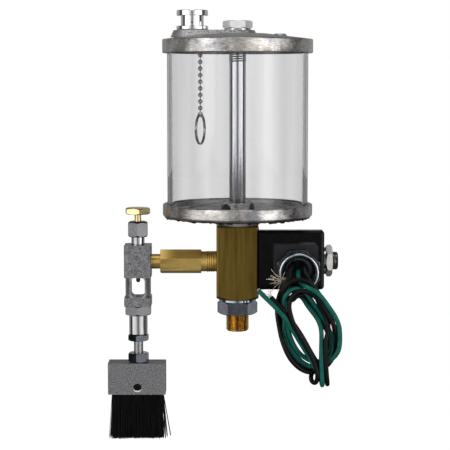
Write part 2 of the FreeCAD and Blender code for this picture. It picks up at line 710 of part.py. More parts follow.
def make_bottom_plate():
    body = piece("bottom_plate", ("0", "0", "plate_low"))
    top = "plate_top"
    floor = f"{top} - floor_drop"
    land = "groove_in - land_width"
    outline = [
        ("rod_hole", "0"),
        ("boss_low_radius", "0"),
        ("boss_high_radius", "boss_drop"),
        ("plate_radius", "boss_drop"),
        ("plate_radius", top),
        ("groove_out", top),
        ("groove_out", f"{top} - groove_depth"),
        ("groove_in", f"{top} - groove_depth"),
        ("groove_in", f"{top} - land_drop"),
        (land, f"{top} - land_drop"),
        (land, floor),
        ("floor_ring_radius", floor),
        ("floor_ring_radius", f"{floor} - floor_ring_drop"),
        ("inner_boss_radius", f"{floor} - floor_ring_drop"),
        ("inner_boss_radius", f"{top} + inner_boss_rise"),
        ("rod_hole", f"{top} + inner_boss_rise"),
    ]
    blank = turned(body, "plate_turn", outline)
    low_edge = ease(
        body, "cast_edge", blank, circle_at("plate_radius", "boss_drop"), "plate_edge_round"
    )
    ease(body, "rim_edge", low_edge, circle_at("plate_radius", top), "rim_edge_round")


def make_cylinder():
    inner = "cylinder_radius - cylinder_wall"
    seal_inner = "groove_in + turned_gap"
    seal_outer = "groove_out - turned_gap"
    ring("lower_gasket", seal_inner, seal_outer, "seal_thickness", ("0", "0", "groove_floor"))
    ring("reservoir_cylinder", inner, "cylinder_radius", "cylinder_length", ("0", "0", "cylinder_low"))
    ring("upper_gasket", seal_inner, seal_outer, "seal_thickness", ("0", "0", "cylinder_high"))
    ring("body_gasket", "rod_hole", "body_seal_radius", "body_seal_thickness", ("0", "0", "body_high"))


def make_top_cover():
    body = piece("top_cover", ("0", "0", "cover_low"))
    land = "groove_in - land_width"
    crown = "cover_rim_height + cover_crown_rise"
    outline = [
        ("0", "cover_pad_drop"),
        ("cover_pad_radius", "cover_pad_drop"),
        ("cover_pad_radius", "cover_recess"),
        (land, "cover_recess"),
        (land, "land_drop"),
        ("groove_in", "land_drop"),
        ("groove_in", "groove_depth"),
        ("groove_out", "groove_depth"),
        ("groove_out", "0"),
        ("plate_radius", "0"),
        ("plate_radius", "cover_rim_height"),
        ("cover_crown_radius", crown),
        ("0", crown),
    ]
    blank = turned(body, "cover_turn", outline)
    edge = ease(body, "lower_rim", blank, circle_at("plate_radius", "0"), "rim_edge_round")
    ease(
        body, "upper_rim", edge, circle_at("plate_radius", "cover_rim_height"), "rim_edge_round"
    )
    sketch = sketch_on(body, "bridge_outline", "XY_Plane", "cover_rim_height + bridge_rise")
    draw_loop(sketch, bridge_corners(), {0: ("bridge_boss_radius", 1), 2: ("bridge_end_radius", 1)})
    bridge = body.newObject("PartDesign::Pad", "bridge")
    bridge.Profile = sketch
    bridge.Type = 0
    bridge.Reversed = True
    bridge.setExpression("Length", bound("bridge_root"))
    bridge.setExpression("TaperAngle", bound("bridge_draft"))
    bump = body.newObject("PartDesign::AdditiveCone", "bump")
    place_at(bump, ("bump_offset", "0", "cover_rim_height"))
    slope = "cover_crown_rise * (plate_radius - bump_offset) / (plate_radius - cover_crown_radius)"
    bump.setExpression("Radius1", bound("bump_radius * 2"))
    bump.setExpression("Radius2", bound("bump_radius"))
    bump.setExpression("Height", bound(f"{slope} + bump_rise"))
    deep = "cover_rim_height + bridge_rise"
    drill(body, "rod_hole", "rod_hole", deep)
    filler_hole = "filler_shank_radius + turned_gap"
    drill(body, "filler_hole", filler_hole, deep, ("-filler_offset", "0", "0"))


def bridge_corners():
    """Where the bridge's two rounded ends meet its straight sides."""
    lean = "(bridge_boss_radius - bridge_end_radius) / filler_offset"
    flat = f"sqrt(1 - ({lean}) ^ 2)"
    big_x, big_y = f"-bridge_boss_radius * {lean}", f"bridge_boss_radius * {flat}"
    end_x = f"-filler_offset - bridge_end_radius * {lean}"
    end_y = f"bridge_end_radius * {flat}"
    return [
        (big_x, f"-{big_y}"),
        (big_x, big_y),
        (end_x, end_y),
        (end_x, f"-{end_y}"),
    ]


def make_rod():
    rod = piece("centre_rod", ("0", "0", "rod_low"))
    round_bar(rod, "rod_bar", "rod_radius", "0", "rod_length", "rod_bevel")
    drill(rod, "oil_way", "rod_bore", "rod_inlet + rod_inlet_radius + overrun")
    start = "-rod_radius - overrun"
    drill(rod, "inlet", "rod_inlet_radius", f"-2 * ({start})", (start, "0", "rod_inlet"), SIDEWAYS)
    hole = "rod_hole"
    ring("top_washer", hole, "top_washer_radius", "top_washer_thickness", ("0", "0", "bridge_high"))
    hex_nut("top_nut", "top_nut_flats", "top_nut_height", "top_nut_bevel", hole, ("0", "0", "top_nut_low"))


# The filler neck, and its cap with the chain that keeps it.


def make_filler():
    body = piece("filler_neck", ("-filler_offset", "0", "bridge_high"))
    top = "filler_flange_height"
    outline = [
        ("filler_bore", "-filler_shank_length"),
        ("filler_shank_radius", "-filler_shank_length"),
        ("filler_shank_radius", "0"),
        ("filler_flange_radius - cap_edge * 2", "0"),
        ("filler_flange_radius", "cap_edge * 2"),
        ("filler_flange_radius", f"{top} - cap_edge"),
        ("filler_flange_radius - cap_edge", top),
        ("filler_neck_radius", top),
        ("filler_neck_radius", f"{top} + filler_neck_height"),
        ("filler_bore", f"{top} + filler_neck_height"),
    ]
    turned(body, "neck_turn", outline)
    vent = f"{top} + vent_rise"
    drill(body, "vent", "vent_radius", "filler_neck_radius", ("0", "0", vent), FORWARD)


def make_cap():
    cap = piece("filler_cap", ("-filler_offset", "0", "neck_high"))
    groove = "(ring_seal_section + turned_gap * 3)"
    depth = "plug_radius - ring_seal_section * 2"
    outline = [
        ("0", "-cap_plug_length"),
        ("plug_radius - cap_edge", "-cap_plug_length"),
        ("plug_radius", "cap_edge - cap_plug_length"),
        ("plug_radius", f"-ring_seal_drop - {groove}"),
        (depth, f"-ring_seal_drop - {groove}"),
        (depth, f"{groove} - ring_seal_drop"),
        ("plug_radius", f"{groove} - ring_seal_drop"),
        ("plug_radius", "0"),
        ("cap_radius - cap_edge", "0"),
        ("cap_radius", "cap_edge"),
        ("cap_radius", "cap_height - cap_edge"),
        ("cap_radius - cap_edge", "cap_height"),
        ("0", "cap_height"),
    ]
    turned(cap, "cap_turn", outline)
    hole = "eye_wire + turned_gap"
    drill(cap, "eye_hole", hole, "eye_stem", ("chain_offset", "0", "-cap_plug_length"))
    seal = piece("cap_seal_ring", ("-filler_offset", "0", "neck_high - ring_seal_drop"))
    seal_ring = seal.newObject("PartDesign::AdditiveTorus", "seal_ring")
    seal_ring.setExpression("Radius1", bound("ring_seal_radius"))
    seal_ring.setExpression("Radius2", bound("ring_seal_section - turned_gap"))


def wire_ring(body, name, radius, wire):
    """A round wire ring that stands in the piece's YZ plane."""
    loop = body.newObject("PartDesign::AdditiveTorus", name)
    loop.Placement = Placement(Vector(), SIDEWAYS)
    loop.setExpression("Radius1", bound(radius))
    loop.setExpression("Radius2", bound(wire))
    return loop


def make_chain():
    eye = piece("chain_eye", ("chain_x", "0", "eye_z"))
    wire_ring(eye, "eye_loop", "eye_radius", "eye_wire")
    stem = eye.newObject("PartDesign::AdditiveCylinder", "eye_stem")
    place_at(stem, ("0", "0", "eye_radius"))
    stem.setExpression("Radius", bound("eye_wire"))
    stem.setExpression("Height", bound("eye_wire + eye_stem - turned_gap"))
    chain = piece("bead_chain", ("chain_x", "0", "chain_low"))
    bead = turned(chain, "bead", bead_corners())
    row = chain.newObject("PartDesign::LinearPattern", "bead_row")
    row.Originals = [bead]
    row.Direction = (axis_of(chain, "Z_Axis"), [""])
    row.setExpression("Length", bound("bead_pitch * (bead_count - 1)"))
    row.setExpression("Occurrences", bound("bead_count"))
    chain.Tip = row
    across_ring = Rotation(Vector(0, 0, 1), number("90 - ring_turn"))
    link = piece("chain_link", ("chain_x", "0", "link_z"), across_ring)
    wire_ring(link, "link_loop", "link_radius", "link_wire")


def axis_of(body, role):
    return [item for item in body.Origin.OriginFeatures if item.Role == role][0]


def bead_corners():
    """Half of a bead with its stub of wire on each side, which reaches into the next one."""
    stub = "bead_stub"
    level = "bead_radius"
    return [
        ("0", f"-{stub}"),
        ("bead_wire", f"-{stub}"),
        ("bead_wire", f"-{level} * 0.96"),
        ("bead_radius * 0.72", f"-{level} * 0.69"),
        ("bead_radius", f"-{level} * 0.26"),
        ("bead_radius", f"{level} * 0.26"),
        ("bead_radius * 0.72", f"{level} * 0.69"),
        ("bead_wire", f"{level} * 0.96"),
        ("bead_wire", stub),
        ("0", stub),
    ]


def make_split_ring():
    yaw = Rotation(Vector(0, 0, 1), number("-ring_turn"))
    body = piece("split_ring", ("chain_x", "0", "ring_z"), yaw.multiply(SIDEWAYS))
    half = "ring_thickness / 2"
    edge = "ring_band / 4"
    outline = [
        ("ring_outer - ring_band", f"{edge} - {half}"),
        (f"ring_outer - ring_band + {edge}", f"-{half}"),
        (f"ring_outer - {edge}", f"-{half}"),
        ("ring_outer", f"{edge} - {half}"),
        ("ring_outer", f"{half} - {edge}"),
        (f"ring_outer - {edge}", half),
        (f"ring_outer - ring_band + {edge}", half),
        ("ring_outer - ring_band", f"{half} - {edge}"),
    ]
    turned(body, "ring_turn", outline)


# The solenoid: a sealed tube with its plunger, and the moulded coil over it.


def make_operator():
    tube = piece("armature_tube", ("tube_start", "0", "solenoid_z"), SIDEWAYS)
    collar = "chamber_radius - turned_gap"
    outline = [
        ("tube_bore", "0"),
        (collar, "0"),
        (collar, "tube_collar_length"),
        ("tube_radius", "tube_collar_length"),
        ("tube_radius", "tube_length"),
        ("tube_bore", "tube_length"),
    ]
    turned(tube, "tube_turn", outline)
    core = piece("fixed_core", ("core_start", "0", "solenoid_z"), SIDEWAYS)
    slip = "tube_bore - turned_gap"
    end = "core_length + core_stud_length"
    outline = [
        ("0", "0"),
        (slip, "0"),
        (slip, "core_length"),
        ("core_stud_radius", "core_length"),
        ("core_stud_radius", f"{end} - core_bevel"),
        ("core_stud_radius - core_bevel", end),
        ("0", end),
    ]
    turned(core, "core_turn", outline)
    make_plunger()
    make_spring()


def make_plunger():
    plunger = piece("plunger", ("plunger_start", "0", "solenoid_z"), SIDEWAYS)
    barrel = "tube_bore - running_gap"
    pocket = "plunger_length - spring_pocket_depth"
    seal_hole = "seal_radius + turned_gap"
    seal_depth = "seal_length - seal_proud"
    outline = [
        ("0", seal_depth),
        (seal_hole, seal_depth),
        (seal_hole, "0"),
        (f"{barrel} - core_bevel", "0"),
        (barrel, "core_bevel"),
        (barrel, "plunger_length"),
        ("spring_pocket_radius", "plunger_length"),
        ("spring_pocket_radius", pocket),
        ("0", pocket),
    ]
    turned(plunger, "plunger_turn", outline)
    seal = piece("valve_seal", ("seal_start", "0", "solenoid_z"), SIDEWAYS)
    disc = seal.newObject("PartDesign::AdditiveCylinder", "seal_disc")
    disc.setExpression("Radius", bound("seal_radius"))
    disc.setExpression("Height", bound("seal_length"))


def make_spring():
    body = piece("return_spring", ("spring_start", "0", "solenoid_z"), SIDEWAYS)
    sketch = sketch_on(body, "wire_section", "XZ_Plane")
    draw_circle(sketch, "spring_wire", ("spring_radius", "spring_wire"))
    coil = body.newObject("PartDesign::AdditiveHelix", "spring_coil")
    coil.Profile = sketch
    coil.ReferenceAxis = (sketch, ["V_Axis"])
    coil.Mode = 1
    coil.setExpression("Pitch", bound("(spring_length - spring_wire * 2) / spring_turns"))
    coil.setExpression("Height", bound("spring_length - spring_wire * 2"))


def make_coil():
    body = piece("coil_housing", ("body_half", "0", "coil_low"))
    front, back = "-coil_depth / 2", "coil_depth / 2"
    bend = "coil_flat - coil_depth / 2"
    side = sketch_on(body, "side_outline", "YZ_Plane", "0")
    corners = [
        (front, "0"),
        (bend, "0"),
        (back, "coil_taper"),
        (back, "coil_height - coil_taper"),
        (bend, "coil_height"),
        (front, "coil_height"),
    ]
    draw_loop(side, corners)
    block = body.newObject("PartDesign::Pad", "moulding")
    block.Profile = side
    block.Type = 0
    block.setExpression("Length", bound("coil_length"))
    doc.recompute()
    far = "coil_length"

    def outer_end(edge):
        box = edge.BoundBox
        at_end = abs(box.XMin - number(far)) < 1e-4
        at_bend = abs(box.YMin - number(bend)) < 1e-4 and box.YLength < 1e-4
        return at_end or (box.XLength > number(far) - 1e-4 and not at_bend)

    ease(body, "moulded_edges", block, outer_end, "coil_round")
    sketch = sketch_on(body, "pad_outline", "XZ_Plane", "coil_depth / 2 - coil_round / 2")
    left, right = "coil_pad_start", "coil_pad_start + coil_pad_length"
    low, high = "coil_round", "coil_pad_height"
    bevel = "coil_pad_slope * 2"
    corners = [
        (left, low),
        (right, low),
        (right, f"{high} - {bevel}"),
        (f"{right} - {bevel}", high),
        (left, high),
    ]
    draw_loop(sketch, corners)
    pad = body.newObject("PartDesign::Pad", "lead_pad")
    pad.Profile = sketch
    pad.Type = 0
    pad.setExpression("Length", bound("coil_pad_rise + coil_round / 2"))
    doc.recompute()

    def pad_front(edge):
        box = edge.BoundBox
        return abs(box.YMin + number("pad_face")) < 1e-4 and box.YLength < 1e-4

    ease(body, "pad_bevel", pad, pad_front, "coil_pad_slope", kind="Chamfer")
    drill(body, "tube_hole", "coil_bore", "coil_length", ("0", "0", "coil_axis_height"), SIDEWAYS)
    ring(
        "coil_washer",
        "core_stud_radius + turned_gap",
        "coil_washer_radius",
        "coil_washer_thickness",
        ("coil_end", "0", "solenoid_z"),
        SIDEWAYS,
    )
    hex_nut(
        "coil_nut",
        "coil_nut_flats",
        "coil_nut_height",
        "nut_bevel",
        "core_stud_radius + turned_gap",
        ("coil_end + coil_washer_thickness", "0", "solenoid_z"),
        turn=SIDEWAYS,
    )


def make_hub():
    body = piece("conduit_hub", ("hub_x", "-pad_face", "hub_z"), FORWARD)
    corner = "hub_flats / 2 / cos(22.5 deg)"
    outline = [
        ("hub_floor_hole", "0"),
        (corner, "0"),
        (corner, "hub_flange - cap_edge"),
        (f"{corner} - cap_edge * 2", "hub_flange"),
        ("hub_barrel_radius", "hub_flange"),
        ("hub_barrel_radius", "hub_length - hub_lip_bevel / 2"),
        ("hub_barrel_radius - hub_lip_bevel / 2", "hub_length"),
        ("hub_bore + hub_lip_bevel", "hub_length"),
        ("hub_bore", "hub_length - hub_lip_bevel"),
        ("hub_bore", "hub_floor"),
        ("hub_floor_hole", "hub_floor"),
    ]
    turned(body, "hub_turn", outline)
    mill_flats(body, "hub_flats", "hub_flats", "0", "hub_flange", "22.5", 8)


# The leads: a tube for each free stretch, and one solid for the coil they are tied into.

LEAD_ROUTES = {
    "lead_black_a": [(38.0, -21.6, 48.4), (37.6, -31.0, 48.6), (36.8, -39.6, 45.0), (35.6, -41.4, 36.6)],
    "lead_black_b": [(42.8, -21.6, 48.4), (43.2, -31.0, 48.6), (44.2, -39.6, 45.0), (45.6, -41.4, 36.6)],
    "lead_green": [(40.4, -21.6, 44.2), (40.4, -30.4, 44.6), (40.5, -39.4, 43.0), (40.4, -41.6, 35.4)],
    "lead_tail_black_a": [(31.6, -43.4, 31.0), (30.2, -43.8, 36.2), (28.4, -43.8, 39.6)],
    "lead_tail_black_b": [(29.2, -38.6, 26.2), (24.6, -38.4, 28.8), (21.6, -38.4, 31.6)],
    "lead_tail_green": [(28.6, -42.4, 22.6), (21.1, -42.2, 28.6), (14.8, -42.2, 32.6)],
}
TIP_LENGTHS = {"black_a": 3.4, "black_b": 5.4, "green": 1.6}
COIL_ROUTE = [
    (40.0, 35.4),
    (51.5, 29.0),
    (60.6, 12.0),
    (62.2, -4.0),
    (56.6, -18.4),
    (45.0, -19.4),
    (33.6, -8.0),
    (29.8, 8.0),
    (31.6, 27.0),
]
FOLDS = [(49.8, -26.8, "Y"), (56.0, -27.6, "X"), (59.4, -27.4, "X")]


def rounded_corner(before, here, after):
    """The ends, middle and radius of the largest arc that the two runs at a point allow."""
    back, ahead = (before - here), (after - here)
    turn = math.pi - back.getAngle(ahead)
    reach = 0.45 * min(back.Length, ahead.Length)
    radius = reach / math.tan(turn / 2)
    first = here + back.normalize() * reach
    last = here + ahead.normalize() * reach
    bisector = (back + ahead).normalize()
    middle = here + bisector * (radius / math.cos(turn / 2) - radius)
    return first, middle, last, radius


def route_wire(name, points):
    """Straight runs joined by tangent arcs."""
    spots = [Vector(*point) for point in points]
    edges = []
    start = spots[0]
    radii = []
    for before, here, after in zip(spots, spots[1:], spots[2:]):
        first, middle, last, radius = rounded_corner(before, here, after)
        radii.append(round(radius, 1))
        edges.append(Part.LineSegment(start, first).toShape())
        edges.append(Part.Arc(first, middle, last).toShape())
        start = last
    edges.append(Part.LineSegment(start, spots[-1]).toShape())
    print(name, "bend radii", radii)
    return Part.Wire(edges)


def tube_along(name, points, radius):
    wire = route_wire(name, points)
    direction = Vector(*points[1]) - Vector(*points[0])
    section = Part.Wire(Part.makeCircle(radius, Vector(*points[0]), direction))
    tube = wire.makePipeShell([section], True, True)
    wanted = math.pi * radius**2 * wire.Length
    if abs(tube.Volume - wanted) > 0.01 * wanted:
        raise ValueError(f"{name}: volume {tube.Volume} for {wanted}")
    print(name, "length", round(wire.Length, 1))
    return tube


def shape_node(name, shape):
    item = doc.addObject("Part::Feature", name)
    item.Label = name
    item.Shape = shape
    nodes.append(item)
    return item


def make_leads():
    radius = number("lead_radius")
    for name, points in LEAD_ROUTES.items():
        shape_node(name, tube_along(name, points, radius))
    for lead, length in TIP_LENGTHS.items():
        points = [Vector(*point) for point in LEAD_ROUTES["lead_tail_" + lead][-2:]]
        ahead = (points[1] - points[0]).normalize()
        wide = number("strand_radius")
        strands = Part.makeCone(wide * 0.8, wide, length, points[1], ahead)
        shape_node("lead_tip_" + lead, strands)
    make_coil_of_leads()


def make_coil_of_leads():
    """The coiled leads as one closed ring with an oval section, and the folds below it."""
    deep, wide = number("coil_of_leads_depth"), number("coil_of_leads_width")
    level = -number("leads_back") - deep / 2
    spots = [Vector(x, level, z) for x, z in COIL_ROUTE]
    count = len(spots)
    corners = [
        rounded_corner(spots[k - 1], spots[k], spots[(k + 1) % count]) for k in range(count)
    ]
    edges = []
    for k, (first, middle, last, radius) in enumerate(corners):
        edges.append(Part.Arc(first, middle, last).toShape())
        edges.append(Part.LineSegment(last, corners[(k + 1) % count][0]).toShape())
    path = Part.Wire(edges)
    start = corners[0][0]
    ahead = (spots[0] - spots[-1]).normalize()
    across = ahead.cross(Vector(0, 1, 0))
    oval = Part.Ellipse(start + across * (wide / 2), start + Vector(0, deep / 2, 0), start)
    ring_of_leads = path.makePipeShell([Part.Wire(oval.toShape())], True, True)
    thick = number("lead_radius") * 2
    folds = [fold(x, level, z, thick, way) for x, z, way in FOLDS]
    shape_node("lead_coil", ring_of_leads.fuse(folds).removeSplitter())


def fold(x, y, z, thick, way):
    """A lead folded flat on itself, its bend downwards, seen from the side or edge-on."""
    axis = Vector(1, 0, 0) if way == "X" else Vector(0, 1, 0)
    low = Vector(x, y, z) - axis * (thick / 2)
    bend = Part.makeCylinder(thick, thick, low, axis)
    side = Vector(0, 1, 0) if way == "X" else Vector(1, 0, 0)
    corner = low - side * thick
    sizes = (thick, thick * 2) if way == "X" else (thick * 2, thick)
    return bend.fuse(Part.makeBox(*sizes, thick * 2.5, corner))


# The outlet nipple and the sight-feed valve.


def make_nipple():
    body = piece("outlet_nipple", ("nipple_start", "0", "outlet_z"), SIDEWAYS)
    corner = "nipple_flats / 2 / cos(30 deg)"
    start = "nipple_hex_start"
    end = f"{start} + nipple_hex_length"
    outline = [
        ("nipple_bore", "0"),
        ("nipple_small_radius - nipple_bevel", "0"),
        ("nipple_small_radius", "nipple_bevel"),
        ("nipple_small_radius", start),
        (f"{corner} - nipple_bevel", start),
        (corner, f"{start} + nipple_bevel"),
        (corner, f"{end} - nipple_bevel"),
        (f"{corner} - nipple_bevel", end),
        ("nipple_large_radius", end),
        ("nipple_large_radius", "nipple_length - nipple_bevel"),
        ("nipple_large_radius - nipple_bevel", "nipple_length"),
        ("nipple_bore", "nipple_length"),
    ]
    turned(body, "nipple_turn", outline)
    mill_flats(body, "nipple_flats", "nipple_flats", start, "nipple_hex_length", "nipple_turn")


def make_sight_body():
    body = piece("sight_body", ("-sight_axis", "0", "drop_height"))
    half = "sight_width / 2"
    block = box_feature(
        body, "sight_bar", ("sight_width", "sight_width", "sight_height"), (f"-{half}", f"-{half}", "0")
    )
    ease(body, "sight_edges", block, upright, "sight_edge", kind="Chamfer")
    waist = [
        ("waist_radius", "window_low"),
        ("sight_width", "window_low"),
        ("sight_width", "window_high"),
        ("waist_radius", "window_high"),
    ]
    lessened(body, turned(body, "waist", waist, kind="Groove"))
    make_window(body)
    drill(body, "lower_socket", "barrel_neck_radius + turned_gap", "sight_socket_depth")
    drill(body, "drain", "drain_radius", "window_low")
    nozzle_floor = "window_high + nozzle_inset"
    nozzle_hole = "nozzle_radius + turned_gap"
    drill(body, "nozzle_hole", nozzle_hole, f"{nozzle_floor} - window_low", ("0", "0", "window_low"))
    seat = "needle_seat_height"
    depth = f"{seat} - ({nozzle_floor}) + overrun * 2"
    drill(body, "needle_hole", "needle_orifice", depth, ("0", "0", f"{nozzle_floor} - overrun"))
    drill(body, "needle_chamber", "needle_chamber_radius", f"sight_height - {seat}", ("0", "0", seat))
    bonnet_floor = "sight_height - bonnet_inset"
    drill(body, "bonnet_hole", "bonnet_radius + turned_gap", "bonnet_inset", ("0", "0", bonnet_floor))
    port_start = f"{half} - sight_port_depth"
    port = (port_start, "0", "sight_port_height")
    drill(body, "side_port", "nipple_small_radius + turned_gap", "sight_port_depth", port, SIDEWAYS)
    drill(body, "side_way", "drain_radius", half, ("0", "0", "sight_port_height"), SIDEWAYS)


def make_window(body):
    """The sight window, milled through from front to back with rounded corners."""
    sketch = sketch_on(body, "window_outline", "XZ_Plane")
    half, curve = "window_width / 2", "window_round"
    low, high = "window_low", "window_high"
    corners = [
        (f"{curve} - {half}", low),
        (f"{half} - {curve}", low),
        (half, f"{low} + {curve}"),
        (half, f"{high} - {curve}"),
        (f"{half} - {curve}", high),
        (f"{curve} - {half}", high),
        (f"-{half}", f"{high} - {curve}"),
        (f"-{half}", f"{low} + {curve}"),
    ]
    draw_loop(sketch, corners, {k: (curve, 1) for k in (1, 3, 5, 7)})
    cut = body.newObject("PartDesign::Pocket", "window")
    cut.Profile = sketch
    cut.Type = 0
    cut.SideType = "Symmetric"
    cut.setExpression("Length", bound("sight_width * 2"))
    lessened(body, cut)


def make_needle_valve():
    nozzle = piece("drip_nozzle", ("-sight_axis", "0", "drop_height + window_high"))
    tip = "-nozzle_showing"
    outline = [
        ("nozzle_bore", tip),
        ("nozzle_bore + nozzle_lip", tip),
        ("nozzle_radius", f"{tip} + nozzle_taper"),
        ("nozzle_radius", "nozzle_inset - turned_gap"),
        ("nozzle_bore", "nozzle_inset - turned_gap"),
    ]
    turned(nozzle, "nozzle_turn", outline)
    bonnet = piece("bonnet", ("-sight_axis", "0", "bonnet_low"))
    top = "bonnet_inset + bonnet_showing"
    outline = [
        ("stem_bore", "0"),
        ("bonnet_radius", "0"),
        ("bonnet_radius", top),
        ("stem_bore", top),
    ]
    turned(bonnet, "bonnet_turn", outline)
    make_gland()
    make_needle()


def make_gland():
    nut = piece("packing_nut", ("-sight_axis", "0", "gland_low"))
    corner = "gland_flats / 2 / cos(30 deg)"
    inner = "bonnet_radius + turned_gap"
    roof = "gland_height - gland_roof"
    outline = [
        (inner, "0"),
        ("gland_flats / 2 - gland_bevel / 2", "0"),
        (corner, "gland_bevel"),
        (corner, "gland_height - gland_bevel"),
        ("gland_flats / 2 - gland_bevel", "gland_height"),
        ("stem_bore", "gland_height"),
        ("stem_bore", roof),
        (inner, roof),
    ]
    turned(nut, "gland_turn", outline)
    mill_flats(nut, "gland_flats", "gland_flats", "0", "gland_height", "nipple_turn + 18")
    floor = "bonnet_low + bonnet_inset + bonnet_showing"
    thickness = f"gland_low + gland_height - gland_roof - ({floor})"
    ring("packing", "stem_bore", "bonnet_radius", thickness, ("-sight_axis", "0", floor))


def make_needle():
    needle = piece("needle", ("-sight_axis", "0", "needle_seat"))
    outline = [
        ("0", "-needle_tip_drop"),
        ("needle_tip_radius", "-needle_tip_drop"),
        ("needle_orifice - running_gap", "0"),
        ("needle_radius", "needle_taper"),
        ("needle_radius", "needle_step - needle_radius / 2"),
        ("stem_radius", "needle_step"),
        ("stem_radius", "stem_length"),
        ("0", "stem_length"),
    ]
    turned(needle, "needle_turn", outline)
    knob = piece("knob", ("-sight_axis", "0", "knob_low"))
    corner = "knob_flats / 2 / cos(30 deg)"
    socket = "stem_radius + running_gap"
    outline = [
        ("0", "knob_socket + running_gap"),
        (socket, "knob_socket + running_gap"),
        (socket, "0"),
        ("knob_flats / 2 - knob_bevel / 2", "0"),
        (corner, "knob_bevel"),
        (corner, "knob_height - knob_bevel"),
        ("knob_flats / 2 - knob_bevel / 2", "knob_height"),
        ("0", "knob_height"),
    ]
    turned(knob, "knob_turn", outline)
    mill_flats(knob, "knob_flats", "knob_flats", "0", "knob_height", "knob_turn_start - 90")


# The drop line below the sight-feed valve, and the brush at its end.


def make_drop_line():
    bore = "barrel_neck_radius + turned_gap"
    at = ("-sight_axis", "0", "lock_nut_low")
    hex_nut("lock_nut", "lock_nut_flats", "lock_nut_height", "nut_bevel", bore, at, "90")
    barrel = piece("drop_barrel", ("-sight_axis", "0", "barrel_low"))
    top = "barrel_height + lock_nut_height + lock_nut_gap + sight_socket_depth - turned_gap"
    socket = "drop_tube_radius + turned_gap"
    outline = [
        (socket, "-barrel_tail_length"),
        ("barrel_tail_radius", "-barrel_tail_length"),
        ("barrel_tail_radius", "0"),
        ("barrel_radius - small_nut_bevel", "0"),
        ("barrel_radius", "small_nut_bevel"),
        ("barrel_radius", "barrel_height - small_nut_bevel"),
        ("barrel_radius - small_nut_bevel", "barrel_height"),
        ("barrel_neck_radius", "barrel_height"),
        ("barrel_neck_radius", top),
        ("barrel_bore", top),
        ("barrel_bore", "tube_socket"),
        (socket, "tube_socket"),
    ]
    turned(barrel, "barrel_turn", outline)
    make_small_nut("barrel_nut", "barrel_nut_low", "barrel_nut_height", "0")
    length = "drop_tube_high - drop_tube_low"
    ring("drop_tube", "drop_tube_bore", "drop_tube_radius", length, ("-sight_axis", "0", "drop_tube_low"))
    make_small_nut("brush_nut", "brush_nut_low", "brush_nut_height", "brush_thread_length")


def make_small_nut(name, low, height, thread):
    """A nut of the drop tube. The lower one has a thread of its own below it."""
    body = piece(name, ("-sight_axis", "0", low))
    corner = "small_nut_flats / 2 / cos(30 deg)"
    flat = "small_nut_flats / 2"
    socket = "drop_tube_radius + turned_gap"
    wide = "barrel_tail_radius + turned_gap"
    outline = [
        (flat, "0"),
        (corner, "small_nut_bevel"),
        (corner, f"{height} - small_nut_bevel"),
        (flat, height),
    ]
    if thread == "0":
        inside = [
            (wide, height),
            (wide, f"{height} - barrel_tail_length - turned_gap"),
            (socket, f"{height} - barrel_tail_length - turned_gap"),
            (socket, "0"),
        ]
    else:
        inside = [
            (socket, height),
            (socket, f"-{thread}"),
            ("barrel_tail_radius", f"-{thread}"),
            ("barrel_tail_radius", "0"),
        ]
    turned(body, name + "_turn", outline + inside)
    mill_flats(body, name + "_flats", "small_nut_flats", "0", height, "small_nut_turn")


def make_brush_block():
    body = piece("brush_block", ("brush_x", "0", "brush_low"))
    half, deep = "brush_length / 2", "brush_depth / 2"
    block = box_feature(
        body, "block", ("brush_length", "brush_depth", "brush_height"), (f"-{half}", f"-{deep}", "0")
    )
    ease(body, "block_edges", block, upright, "brush_edge", kind="Chamfer")
    slot_length = "strip_length + turned_gap * 2"
    box_feature(
        body,
        "strip_slot",
        (slot_length, "slot_width", "slot_depth"),
        (f"-({slot_length}) / 2", "-slot_width / 2", "0"),
        "SubtractiveBox",
    )
    thread = "brush_height + brush_gap - brush_thread_length"
    drill(
        body,
        "thread_hole",
        "barrel_tail_radius + turned_gap",
        "brush_thread_length",
        ("brush_shift", "0", thread),
    )
    drill(body, "oil_hole", "brush_oil_hole", thread, ("brush_shift", "0", "0"))
    drill(
        body, "screw_hole", "screw_hole_radius", deep, ("brush_shift / 2", "0", "screw_rise"), FORWARD
    )
    make_set_screw()
    make_strip()


def make_set_screw():
    face = "-(brush_depth / 2 - screw_recess)"
    body = piece("set_screw", ("brush_x + brush_shift / 2", face, "brush_low + screw_rise"), FORWARD)
    length = "brush_depth / 2 - screw_recess - strip_width / 2 - turned_gap"
    radius = "screw_hole_radius - turned_gap"
    round_bar(body, "screw_bar", radius, f"-({length})", "0", "turned_gap * 6")
    sketch = sketch_on(body, "socket_outline", "XY_Plane")
    draw_loop(sketch, polygon("screw_socket", 6, "0"))
    cut = body.newObject("PartDesign::Pocket", "socket")
    cut.Profile = sketch
    cut.Type = 0
    cut.setExpression("Length", bound("screw_socket * 0.7"))
    lessened(body, cut)


def make_strip():
    """The folded metal strip that grips the bristles."""
    body = piece("brush_strip", ("brush_x", "0", "brush_low"))
    half, wide = "strip_length / 2", "strip_width / 2"
    height = "slot_depth - turned_gap"
    box_feature(
        body, "strip_bar", ("strip_length", "strip_width", height), (f"-{half}", f"-{wide}", "0")
    )
    box_feature(
        body,
        "strip_channel",
        ("strip_length", "strip_width - strip_wall * 2", f"{height} - strip_wall"),
        (f"-{half}", f"strip_wall - {wide}", "0"),
        "SubtractiveBox",
    )


